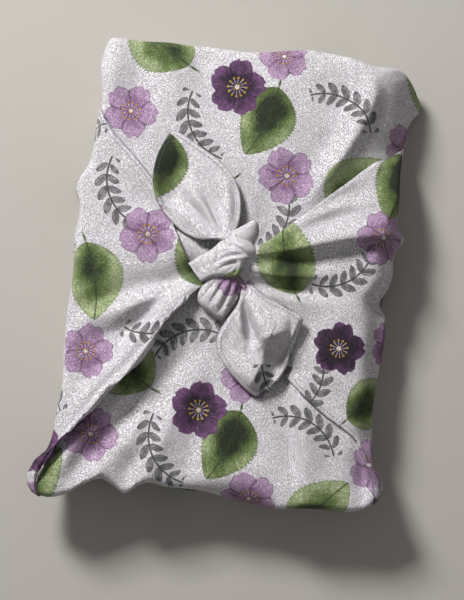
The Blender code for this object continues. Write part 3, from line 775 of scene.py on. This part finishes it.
def wall_row(place, section, proud=0.0, fall_share=1.0):
    """One row of the wall or rim, and where it lies on the flat cloth."""
    inset, height, swell_share = section
    height = max(height, 0.0)
    plan, outward = outline(place, inset - proud, swell_share)
    plan = plan + outward * wall_ripple(place, height)[:, None]
    on_top = np.clip((height - BRIM) / (TOP - BRIM), 0.0, 1.0) ** 2
    sag = rim_drop(plan) + fall_share * fall(plan)
    shape = fold_rise(plan, FLAP_FOLDS) * on_top - sag * height / TOP
    heights = height + shape + unevenness(plan) * on_top + proud * on_top
    unrolled = plan + outward * (TOP - height)
    return np.column_stack((plan, heights)), unrolled


def wing_stage(section):
    """How far a wall section is up the wing: 0 at the floor, 1 at the brim, 2 at the rim."""
    inset, height, _ = section
    if height < BRIM:
        return max(height, 0.0) / BRIM
    return 1.0 + np.clip(inset / RIM_INSET, 0.0, 1.0)


def base_and_walls(place):
    """Rows from the middle of the base out to the floor's edge, and up the walls to the rim."""
    for inset in BASE_INSETS:
        plan, _ = outline(place, inset, 0.0)
        yield np.column_stack((plan, np.zeros(len(place)))), plan
    for section in smooth_curve(WALL_SECTIONS, WALL_ROWS)[:-1]:
        row, unrolled = wall_row(place, section)
        row[:, 2] += under_wings(row[:, :2]) * np.clip(wing_stage(section) - 1.0, 0.0, 1.0)
        yield row, unrolled


def flaps(place):
    """Rows across the top to the mouth, where the flaps' corners turn back under them."""
    for inset, swell_share, way in smooth_curve(FLAP_SECTIONS, FLAP_ROWS):
        rim, _ = outline(place, inset, swell_share)
        plan = (1 - way) * rim + way * mouth(place)
        yield np.column_stack((plan, flap_top(plan) + under_wings(plan))), plan
    rim, _ = outline(place, FLAP_SECTIONS[-1][0], 0.0)
    for step in range(1, UNDER_ROWS + 1):
        way = 1.0 - UNDER_WAY * step / UNDER_ROWS
        plan = (1 - way) * rim + way * mouth(place)
        heights = flap_top(plan) + under_wings(plan) - UNDER_DROP
        yield np.column_stack((plan, heights)), 2 * mouth(place) - plan


def wrapped_body(cloth):
    """The base, the walls and both flaps."""
    place = np.linspace(0.0, side_ends()[-1], BODY_COLUMNS, endpoint=False)
    rows, prints = zip(*base_and_walls(place), *flaps(place))
    cloth.add_sheet(np.array(rows), np.array(prints), closed=True)


def patch(first_row, last_row, first_side, last_side):
    """The plan of a four-sided patch whose sides are curves: rows run from first_row to last_row."""
    down = np.linspace(0.0, 1.0, len(first_side))[:, None, None]
    across = np.linspace(0.0, 1.0, len(first_row))[None, :, None]
    between_sides = (1 - across) * first_side[:, None] + across * last_side[:, None]
    between_rows = (1 - down) * first_row[None] + down * last_row[None]
    corners = (1 - down) * ((1 - across) * first_row[0] + across * first_row[-1])
    corners = corners + down * ((1 - across) * last_row[0] + across * last_row[-1])
    return between_sides + between_rows - corners


def turned(plan, turn, shift):
    """Plan points turned and shifted on the flat cloth."""
    across = plan[..., 0] * math.cos(turn) - plan[..., 1] * math.sin(turn)
    along = plan[..., 0] * math.sin(turn) + plan[..., 1] * math.cos(turn)
    return np.stack((across, along), axis=-1) + shift


def unit(arrows):
    """Arrows of length 1."""
    return arrows / np.maximum(np.linalg.norm(arrows, axis=-1), SHORTEST)[..., None]


def turned_under(points, normals, prints, radius, reach):
    """Columns that carry a sheet round its first edge and back under it."""
    edge = points[:, :1]
    normal = normals[:, 1:2]
    outward = unit(edge - points[:, 1:2])
    outward -= normal * (outward * normal).sum(-1)[..., None]
    print_step = unit(prints[:, :1] - prints[:, 1:2])
    radius = radius[:, None, None]
    angle = (math.pi * np.arange(1, EDGE_TURN + 1) / EDGE_TURN)[None, :, None]
    bend = edge + outward * radius * np.sin(angle) - normal * radius * (1 - np.cos(angle))
    bend_prints = prints[:, :1] + print_step * radius * angle
    spacing = np.linalg.norm(points[:, 1] - points[:, 0], axis=-1)[:, None]
    back = np.arange(1, EDGE_BACK + 1)[None, :] / EDGE_BACK * reach[:, None]
    column = back / np.maximum(spacing, SHORTEST)
    low = np.clip(column.astype(int), 0, points.shape[1] - 2)
    share = np.clip(column - low, 0.0, 1.0)[..., None]
    rows = np.arange(len(points))[:, None]
    above = points[rows, low] * (1 - share) + points[rows, low + 1] * share
    under = above - 2 * radius * normals[rows, low]
    under_prints = prints[:, :1] + print_step * (radius * math.pi + back[..., None])
    columns = np.concatenate((bend, under), axis=1)
    column_prints = np.concatenate((bend_prints, under_prints), axis=1)
    return columns[:, ::-1], column_prints[:, ::-1]


def between(stages, rows):
    """The two columns of a table at each stage, where its rows are stages 0, 1, 2 and so on."""
    return [np.interp(stages, range(len(rows)), column) for column in zip(*rows)]


def wing_hems(points):
    """Places along the hem of a wing, which runs along its first edge. The last edge is a fold."""
    distance = np.linalg.norm(points - points[:, :1], axis=-1)
    steps = np.linalg.norm(np.diff(points[:, 0], axis=0), axis=-1)
    run = np.concatenate(([0.0], np.cumsum(steps)))[:, None]
    under = np.full((len(points), EDGE_BACK), NO_HEM)
    bend = np.zeros((len(points), EDGE_TURN))
    distance = np.concatenate((under, bend, distance, bend + NO_HEM, under), axis=1)
    return np.dstack((distance, np.broadcast_to(run, distance.shape)))


def roll_rise(distance, radius):
    """How far a rolled edge stands up, with a soft shoulder down to the roll itself."""
    stand = 2 * radius * bell(distance, ROLL_SPREAD * (1 + radius))
    return stand - SHOULDER_DROP * radius * bell(distance, SHOULDER_SPREAD * radius)


def wing_on_wall(shape, folds, across, fall_share):
    """The rows of a wing up the wall and over the rim, with their prints and stages."""
    rows = []
    prints = []
    stages = []
    for section in smooth_curve(WALL_SECTIONS, WALL_ROWS)[1:-1]:
        stage = wing_stage(section)
        first, last = between(stage, shape["places"])
        place = first + (last - first) * across
        row, unrolled = wall_row(place, section, THICKNESS + WING_GAP, fall_share)
        first_roll, last_roll = between(stage, shape["rolls"])
        edge = first_roll * bell(across, WALL_ROLL_SPREAD)
        edge = edge + last_roll * bell(1 - across, WALL_ROLL_SPREAD)
        row[:, 2] += (fold_rise(row[:, :2], folds) + 2 * edge) * np.clip(stage - 1.0, 0.0, 1.0)
        rows.append(row)
        prints.append(unrolled)
        stages.append(stage)
    return np.array(rows), np.array(prints), stages


def wing_plan(shape, across, down):
    """The plan of a wing on top of the flaps, from the rim to the knot."""
    first, last = shape["places"][-1]
    rim, _ = outline(first + (last - first) * across, RIM_INSET, 1.0)
    sides = []
    for name, start in (("first", rim[0]), ("last", rim[-1])):
        side = smooth_curve(shape[name], WING_ROWS + 1)
        sides.append(side + (start - side[0]) * (1 - down) ** RIM_EASE)
    knot_end = np.linspace(sides[0][-1], sides[1][-1], WING_COLUMNS + 1)
    return patch(rim, knot_end, *sides)


def wing(cloth, shape, folds):
    """A wing: up the wall from its foot, over the rim, and across the flaps to the knot."""
    across = np.linspace(0.0, 1.0, WING_COLUMNS + 1)
    down = np.linspace(0.0, 1.0, WING_ROWS + 1)[:, None]
    fall_share = WING_FALL_SHARE + (1 - WING_FALL_SHARE) * across**WING_FALL_POWER
    wall, wall_prints, wall_stages = wing_on_wall(shape, folds, across, fall_share)
    plan = wing_plan(shape, across, down)
    stages = np.concatenate((wall_stages, 2.0 + 2.0 * down[:, 0]))
    first_roll, last_roll = between(stages, shape["rolls"])
    to_first = np.linalg.norm(plan - plan[:, :1], axis=-1)
    to_last = np.linalg.norm(plan - plan[:, -1:], axis=-1)
    edges = roll_rise(to_first, first_roll[len(wall) :, None])
    edges = edges + roll_rise(to_last, last_roll[len(wall) :, None])
    first_power, last_power = shape["lift_power"]
    lift = shape["lift"] * down ** (first_power + (last_power - first_power) * across)
    heights = flap_top(plan, fall_share) + THICKNESS + WING_GAP + fold_rise(plan, folds) + lift + edges
    points = np.concatenate((wall, np.dstack((plan, heights))))
    flat = turned(np.concatenate((wall_prints, plan)), shape["print_turn"], shape["print_shift"])
    on_top = np.clip(stages / 2.0 - 1.0, 0.0, 1.0)
    reach = LEAST_REACH + MORE_REACH * np.sin(math.pi * on_top) ** REACH_POWER
    normals = grid_normals(points, False)
    first, first_prints = turned_under(points, normals, flat, first_roll, reach)
    last, last_prints = turned_under(points[:, ::-1], normals[:, ::-1], flat[:, ::-1], last_roll, reach)
    hems = wing_hems(points)
    points = np.concatenate((first, points, last[:, ::-1]), axis=1)
    flat = np.concatenate((first_prints, flat, last_prints[:, ::-1]), axis=1)
    cloth.add_sheet(points, flat, hems)


def drawn_sheet(sections, folds, arch, turn, shift):
    """A sheet between two drawn edges, given in sections along it. A high arch rounds only its edges."""
    path = smooth_curve(sections, TAIL_ROWS + 1)
    across = np.linspace(0.0, 1.0, TAIL_COLUMNS + 1)[None, :, None]
    points = (1 - across) * path[:, None, 0:3] + across * path[:, None, 4:7]
    edge = np.concatenate((path[:, 0:2], path[::-1, 4:6]))
    distance, place, _ = nearest_on_line(points[..., :2].reshape(-1, 2), edge)
    edge_length = np.linalg.norm(np.diff(edge, axis=0), axis=1).sum()
    hems = distance.reshape(points.shape[:2])
    runs = place.reshape(points.shape[:2]) * edge_length
    points[..., 2] += path[:, 3:4] * (1 - np.abs(2 * across[..., 0] - 1) ** arch)
    fold_share = 1 - STIFF_HEM * bell(hems, HEM_WIDTH)
    points[..., 2] += fold_rise(points[..., :2], folds) * fold_share
    points[..., 2] += SHEET_RIPPLE * unevenness(points[..., :2] * SHEET_RIPPLE_FINENESS)
    points[..., 2] -= EDGE_DROP * bell(hems, EDGE_DROP_WIDTH)
    if grid_normals(points, False)[..., 2].mean() < 0:
        points = points[:, ::-1]
        hems = hems[:, ::-1]
        runs = runs[:, ::-1]
    return points, turned(points[..., :2], turn, shift), np.dstack((hems, runs))


def free_end(cloth, sections, folds, turn, shift):
    """A free end of the cloth with its hem."""
    cloth.add_sheet(*drawn_sheet(sections, folds, FREE_END_ARCH, turn, shift))


def knot_part(cloth, sections, folds, arch, turn, shift):
    """A gathered part of the knot, without a hem."""
    points, prints, _ = drawn_sheet(sections, folds, arch, turn, shift)
    cloth.add_sheet(points, prints)


class Term:
    """A value in a node tree that plain arithmetic builds on."""

    def __init__(self, tree, output):
        self.tree = tree
        self.output = output

    def join(self, operation, *others):
        """A Math node of this value and others."""
        node = self.tree.nodes.new("ShaderNodeMath")
        node.operation = operation
        for index, item in enumerate((self, *others)):
            put(self.tree, node.inputs[index], item)
        return Term(self.tree, node.outputs[0])

    def __add__(self, other):
        return self.join("ADD", other)

    def __sub__(self, other):
        return self.join("SUBTRACT", other)

    def __mul__(self, other):
        return self.join("MULTIPLY", other)

    def __truediv__(self, other):
        return self.join("DIVIDE", other)

    def size(self):
        """The value without its sign."""
        return self.join("ABSOLUTE")

    def ramp(self, low, high, top=1.0):
        """A soft step from 0 at low to top at high."""
        node = self.tree.nodes.new("ShaderNodeMapRange")
        node.interpolation_type = "SMOOTHSTEP"
        put(self.tree, node.inputs["Value"], self)
        node.inputs["From Min"].default_value = low
        node.inputs["From Max"].default_value = high
        node.inputs["To Min"].default_value = 0.0
        node.inputs["To Max"].default_value = top
        return Term(self.tree, node.outputs["Result"])

    def near(self, centre, reach):
        """1 at the centre, falling softly to 0 at the reach."""
        return (self - centre).size().ramp(reach, 0.0)


def put(tree, target, item):
    """Link a term to an input, or set the input to a number or colour."""
    if isinstance(item, Term):
        tree.links.new(item.output, target)
    else:
        target.default_value = item


def paint(code):
    """The linear colour of a painter's six-figure code."""
    parts = [int(code[start : start + 2], 16) / 255 for start in (0, 2, 4)]
    return (*[((part + 0.055) / 1.055) ** 2.4 if part > 0.04 else part / 12.92 for part in parts], 1.0)


def blend(tree, share, first, second, mode="MIX"):
    """One colour over another."""
    node = tree.nodes.new("ShaderNodeMix")
    node.data_type = "RGBA"
    node.blend_type = mode
    put(tree, node.inputs[0], share)
    put(tree, node.inputs[6], first)
    put(tree, node.inputs[7], second)
    return Term(tree, node.outputs[2])


def spot(tree, x, y, z):
    """A place made of three values."""
    node = tree.nodes.new("ShaderNodeCombineXYZ")
    for index, item in enumerate((x, y, z)):
        put(tree, node.inputs[index], item)
    return node.outputs[0]


def noise(tree, x, y, z, scale, detail=2.0):
    """Cloudy noise at a place."""
    node = tree.nodes.new("ShaderNodeTexNoise")
    tree.links.new(spot(tree, x, y, z), node.inputs["Vector"])
    node.inputs["Scale"].default_value = scale
    node.inputs["Detail"].default_value = detail
    return Term(tree, node.outputs[0])


def uneven(tree, x, y, seed, scale, amount, detail=2.0):
    """Noise round 0 that reaches about half the amount either way."""
    return (noise(tree, x, y, seed, scale, detail) - 0.5) * amount


def flat_length(x, y):
    """The length of a flat arrow."""
    return (x * x + y * y).join("SQRT")


def wrapped_angle(angle, half_turn):
    """An angle brought to within half a petal, in degrees, of the nearest petal's middle."""
    return angle.join("WRAP", math.radians(half_turn), math.radians(-half_turn))


def draw_blossom(tree, x, y, tone, seed):
    """A plum blossom with five round petals, about 30 mm across."""
    petal_middle = 7.9
    petal_half_length = 7.0
    petal_half_width = 6.6
    radius = flat_length(x, y)
    angle = y.join("ARCTAN2", x) + uneven(tree, x, y, seed, 0.16, 0.5)
    turn = wrapped_angle(angle, 36)
    along = radius * turn.join("COSINE")
    across = radius * turn.join("SINE")
    petal = flat_length((along - petal_middle) / petal_half_length, across / petal_half_width)
    petal = petal + uneven(tree, x, y, seed, 0.9, 0.12)
    notch = across.near(0.0, 2.2) * along.ramp(10.0, 15.0, 0.24)
    petal = petal + notch
    mask = petal.ramp(1.02, 0.95)
    veins = uneven(tree, angle * 9.0, radius * 0.1, seed, 1.6, 0.8)
    wash = uneven(tree, x, y, seed + 7.0, 0.22, 1.0)
    depth = (radius / -15.0 + 0.75) + veins + wash + tone
    light = blend(tree, depth.ramp(-0.1, 0.8), paint(PALE_PETAL), paint(PETAL))
    colour = blend(tree, depth.ramp(0.5, 1.6), light, paint(DARK_PETAL))
    colour = blend(tree, petal.ramp(0.84, 0.99, 0.4), colour, paint(PETAL_EDGE))
    colour = blend(tree, turn.size().ramp(0.5, 0.63, 0.6), colour, paint(PETAL_GAP))
    to_spoke = (radius * wrapped_angle(angle, 15).join("SINE")).size()
    threads = to_spoke.ramp(0.32, 0.1) * radius.near(3.1, 1.9)
    tips = flat_length(radius - 4.6, to_spoke).ramp(0.75, 0.4)
    colour = blend(tree, threads * 0.8, colour, paint(STAMEN_THREAD))
    colour = blend(tree, tips, colour, paint(STAMEN_TIP))
    colour = blend(tree, radius.ramp(2.0, 1.3), colour, paint(BLOSSOM_HEART))
    return colour, mask


def draw_leaf(tree, x, y, tone, seed):
    """A broad pointed leaf with a serrated edge, about 45 mm long."""
    half_length = 20.5
    middle_width = 15.2
    taper = -4.4
    bend = x - y * y * 0.006
    side = bend.size()
    share = y / half_length
    teeth = (y * 0.62 + side * 0.3).join("FRACT") * 0.09
    round_part = (share * share * -1.0 + 1.0).join("MAXIMUM", 0.0).join("POWER", 0.72)
    half_width = round_part * (share * taper + middle_width) * (teeth + 0.93)
    to_edge = side - half_width
    blade = (to_edge + uneven(tree, x, y, seed, 0.7, 0.8)).ramp(0.3, -0.3)
    blade = blade * share.size().ramp(1.0, 0.985)
    stalk = side.ramp(0.9, 0.45) * y.near(-23.0, 5.0)
    outward = flat_length(x / 14.0, (y + 6.0) / 22.0)
    depth = uneven(tree, x, y, seed + 3.0, 0.11, 1.8, 3.0) + tone + outward.ramp(0.15, 1.0, -1.25) + 1.15
    green = blend(tree, depth.ramp(-0.1, 0.7), paint(PALE_LEAF), paint(LEAF))
    green = blend(tree, depth.ramp(0.5, 1.4), green, paint(DARK_LEAF))
    rib = (y - side * 0.85) / 4.4
    ribs = (rib.join("FRACT") - 0.5).size().ramp(0.42, 0.5, 0.4)
    green = blend(tree, ribs, green, paint(LEAF_RIB))
    green = blend(tree, to_edge.ramp(-1.6, 0.0, 0.35), green, paint(LEAF_EDGE))
    green = blend(tree, side.ramp(0.7, 0.25, 0.75), green, paint(LEAF_STEM))
    return green, blade.join("MAXIMUM", stalk)


def draw_sprig(tree, x, y, tone, seed):
    """A curved sprig in grey wash: a thin stem with pairs of small leaves, about 52 mm long."""
    bend_radius = 30.0
    half_length = 26.0
    half_step = 3.7
    tilt = math.radians(48)
    from_centre = flat_length(x + bend_radius, y)
    across = (from_centre - bend_radius).size()
    along = y.join("ARCTAN2", x + bend_radius) * bend_radius
    inside = along.size().ramp(half_length, half_length - 1.0)
    stem = across.ramp(0.75, 0.35) * inside
    step = (along + half_length).join("WRAP", half_step, -half_step) - 0.4
    out = across - 3.6
    leaf_along = step * math.cos(tilt) + out * math.sin(tilt)
    leaf_across = out * math.cos(tilt) - step * math.sin(tilt)
    shrink = along.size().ramp(28.0, 10.0) * 0.45 + 0.6
    leaf = flat_length(leaf_along / 4.7, leaf_across / 2.15) / shrink + uneven(tree, x, y, seed, 0.8, 0.2)
    leaves = leaf.ramp(1.03, 0.9) * inside
    depth = uneven(tree, x, y, seed + 5.0, 0.3, 1.8, 3.0) + tone + 0.5
    grey = blend(tree, depth.ramp(0.0, 1.0), paint(PALE_WASH), paint(WASH))
    grey = blend(tree, leaf.ramp(0.7, 1.0, 0.85), grey, paint(WASH_EDGE))
    grey = blend(tree, leaf_across.size().ramp(0.4, 0.1, 0.5), grey, paint(WASH_RIB))
    grey = blend(tree, stem, grey, paint(WASH_STEM))
    return grey, leaves.join("MAXIMUM", stem)


# Painted in this order, each over the ones before
MOTIFS = ((SPRIGS, draw_sprig), (LEAVES, draw_leaf), (BLOSSOMS, draw_blossom))


def vector_step(tree, source, operation, value, low=None):
    """A Vector Math node that changes a place by a constant."""
    node = tree.nodes.new("ShaderNodeVectorMath")
    node.operation = operation
    tree.links.new(source, node.inputs[0])
    node.inputs[1].default_value = value
    if low is not None:
        node.inputs[2].default_value = low
    return node.outputs[0]


def own_place(tree, place, x, y, turn, size):
    """A place on the flat cloth as one copy of a motif sees it."""
    half = (REPEAT[0] / 2, REPEAT[1] / 2, 1.0)
    moved = vector_step(tree, place, "SUBTRACT", (x, y, 0.0))
    wrapped = vector_step(tree, moved, "WRAP", half, tuple(-edge for edge in half))
    spin = tree.nodes.new("ShaderNodeVectorRotate")
    spin.rotation_type = "Z_AXIS"
    spin.inputs["Angle"].default_value = math.radians(turn)
    tree.links.new(wrapped, spin.inputs["Vector"])
    return vector_step(tree, spin.outputs[0], "MULTIPLY", (1 / size, 1 / size, 0.0))


def split(tree, vector, count=2):
    """The first parts of a vector."""
    parts = tree.nodes.new("ShaderNodeSeparateXYZ")
    put(tree, parts.inputs[0], vector)
    return [Term(tree, parts.outputs[index]) for index in range(count)]


def nearest_copy(tree, place, rows):
    """The place as the nearest copy of a motif sees it, with that copy's tone and seed."""
    nearest = None
    for number, (x, y, turn, size, tone) in enumerate(rows):
        own = Term(tree, own_place(tree, place, x, y, turn, size))
        reach = flat_length(*split(tree, own))
        marks = (tone, SEED_STEP * number, 0.0, 1.0)
        if nearest is None:
            nearest, own_best, marks_best = reach, own, marks
            continue
        nearer = reach.join("LESS_THAN", nearest)
        nearest = reach.join("MINIMUM", nearest)
        own_best = blend(tree, nearer, own_best, own)
        marks_best = blend(tree, nearer, marks_best, marks)
    return (*split(tree, own_best), *split(tree, marks_best))


def printed_colour(tree, ground):
    """The scattered print over the ground colour, laid out on the flat cloth."""
    flat = tree.nodes.new("ShaderNodeUVMap")
    flat.uv_map = "flat_cloth"
    place = vector_step(tree, flat.outputs[0], "MULTIPLY", (1 / MM, 1 / MM, 0.0))
    colour = ground
    for rows, draw in MOTIFS:
        paint_colour, share = draw(tree, *nearest_copy(tree, place, rows))
        colour = blend(tree, share * DYE_COVER, colour, paint_colour)
    return colour


def pebbled(tree, x, y, z):
    """Small rounded pebbles, longer along a diagonal: 1 on their tops and 0 between them."""
    node = tree.nodes.new("ShaderNodeTexVoronoi")
    place = spot(tree, (x + y) * PEBBLE_STRETCH[0], (y - x) * PEBBLE_STRETCH[1], z)
    tree.links.new(place, node.inputs["Vector"])
    node.inputs["Scale"].default_value = PEBBLES_PER_METRE
    return Term(tree, node.outputs["Distance"]).ramp(0.6, 0.0)


def attribute(tree, name):
    """A number that the mesh carries at each point."""
    node = tree.nodes.new("ShaderNodeAttribute")
    node.attribute_name = name
    return Term(tree, node.outputs["Fac"])


def hemmed(tree, colour, height):
    """The colour and height with the fold and the stitches of the hem, and a painted shade along its very
    edge.
    """
    hem = attribute(tree, "hem_distance")
    stitch_place = (attribute(tree, "hem_run") / STITCH_STEP).join("FRACT")
    stitch = hem.near(STITCH_LINE, STITCH_WIDTH) * stitch_place.near(0.5, 0.42).ramp(0.0, 0.5)
    colour = blend(tree, stitch * 0.75, colour, paint(STITCH))
    # Painted shade: the colour darkens within a millimetre of the hem's edge, as if the fold there lay in
    # shade
    colour = blend(tree, hem.ramp(0.7, 0.1, 0.45), colour, paint(HEM_EDGE_SHADE))
    return colour, height + hem.ramp(HEM_FOLD + 0.4, HEM_FOLD, 0.5) - stitch * 0.6


def crepe_material():
    """White crepe with its pebbled grain, its print and its stitched hem."""
    material = bpy.data.materials.new("printed_crepe")
    material.use_nodes = True
    tree = material.node_tree
    shader = tree.nodes["Principled BSDF"]
    shader.inputs["Roughness"].default_value = 0.85
    shader.inputs["Specular IOR Level"].default_value = 0.15
    shader.inputs["Sheen Weight"].default_value = 0.05
    shader.inputs["Sheen Roughness"].default_value = 0.5
    place = tree.nodes.new("ShaderNodeTexCoord").outputs["Object"]
    x, y, z = split(tree, Term(tree, place), 3)
    clouds = noise(tree, x, y, z, CLOUDS_PER_METRE).ramp(0.3, 0.7)
    colour = printed_colour(tree, blend(tree, clouds, DULL_WHITE, WHITE))
    height = pebbled(tree, x, y, z) * GRAIN_DEPTH
    # Painted shade in the pits: the colour darkens between the pebbles and lightens a little on their
    # tops
    colour = blend(tree, 1.0, colour, height.ramp(0.1, 1.2, 0.2) + 0.86, "MULTIPLY")
    colour, height = hemmed(tree, colour, height)
    bump = tree.nodes.new("ShaderNodeBump")
    bump.inputs["Strength"].default_value = 1.0
    bump.inputs["Distance"].default_value = MM
    put(tree, bump.inputs["Height"], height)
    tree.links.new(bump.outputs[0], shader.inputs["Normal"])
    put(tree, shader.inputs["Base Color"], colour)
    return material


def studio():
    """The floor and the lights."""
    bpy.ops.object.select_all(action="DESELECT")
    bpy.ops.mesh.primitive_plane_add(size=6.0, location=(0, 0, 0))
    floor = bpy.context.object
    floor.name = "studio_floor"
    material = bpy.data.materials.new("pale_floor")
    material.use_nodes = True
    shader = material.node_tree.nodes["Principled BSDF"]
    shader.inputs["Base Color"].default_value = FLOOR_COLOUR
    shader.inputs["Roughness"].default_value = 0.8
    floor.data.materials.append(material)
    key_light()
    world = bpy.data.worlds.new("studio_world")
    bpy.context.scene.world = world
    world.use_nodes = True
    background = world.node_tree.nodes["Background"]
    background.inputs["Color"].default_value = (1.0, 1.0, 1.0, 1.0)
    background.inputs["Strength"].default_value = ROOM_LIGHT
    bpy.context.scene.view_settings.view_transform = "Standard"


def key_light():
    """A square light that faces the parcel from the upper left."""
    turn = math.radians(KEY_AZIMUTH)
    rise = math.radians(KEY_ELEVATION)
    bpy.ops.object.select_all(action="DESELECT")
    towards = (math.cos(rise) * math.cos(turn), math.cos(rise) * math.sin(turn), math.sin(rise))
    place = tuple(KEY_DISTANCE * part for part in towards)
    tilt = (0.0, math.radians(90.0) - rise, turn)
    bpy.ops.object.light_add(type="AREA", location=place, rotation=tilt)
    light = bpy.context.object
    light.name = "key_light"
    light.data.shape = "SQUARE"
    light.data.size = KEY_SIZE
    light.data.energy = KEY_POWER


def camera():
    """The camera: close above, a little towards the near end, with the parcel leaning in its frame."""
    lean = math.radians(CAMERA_LEAN)
    back = math.radians(CAMERA_BACK)
    bpy.ops.object.select_all(action="DESELECT")
    away = np.array((math.sin(back) * math.sin(lean), -math.sin(back) * math.cos(lean), math.cos(back)))
    place = tuple((CAMERA_TARGET + away * CAMERA_DISTANCE) * MM)
    bpy.ops.object.camera_add(location=place, rotation=(back, 0.0, lean))
    eye = bpy.context.object
    eye.name = "photo_camera"
    eye.data.sensor_width = 36.0
    eye.data.lens = 112.0
    bpy.context.scene.camera = eye


def wrapped_cloth():
    """The body and the wings."""
    cloth = Cloth()
    wrapped_body(cloth)
    wing(cloth, LEFT_WING, LEFT_WING_FOLDS)
    wing(cloth, RIGHT_WING, RIGHT_WING_FOLDS)
    return cloth.piece("wrapped_cloth")


def knot():
    """The parts of the knot and the two free ends."""
    cloth = Cloth()
    free_end(cloth, LEFT_TAIL, LEFT_TAIL_FOLDS, turn=5.42, shift=(137.0, 161.0))
    free_end(cloth, RIGHT_TAIL, RIGHT_TAIL_FOLDS, turn=0.75, shift=(118.0, 19.0))
    knot_part(cloth, TUCK, (), arch=2.5, turn=0.72, shift=(60.0, 11.0))
    knot_part(cloth, FAN, FAN_FOLDS, arch=3.0, turn=3.09, shift=(28.0, 62.0))
    knot_part(cloth, BAND, BAND_FOLDS, arch=3.0, turn=2.84, shift=(53.0, 145.0))
    return cloth.piece("knot_and_ends")


def furoshiki():
    """The whole cloth."""
    crepe = crepe_material()
    wrapped = wrapped_cloth()
    tied = knot()
    for piece in (wrapped, tied):
        piece.data.materials.append(crepe)
        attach(piece, "root")
    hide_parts("furoshiki_cloth")


furoshiki()
studio()
camera()
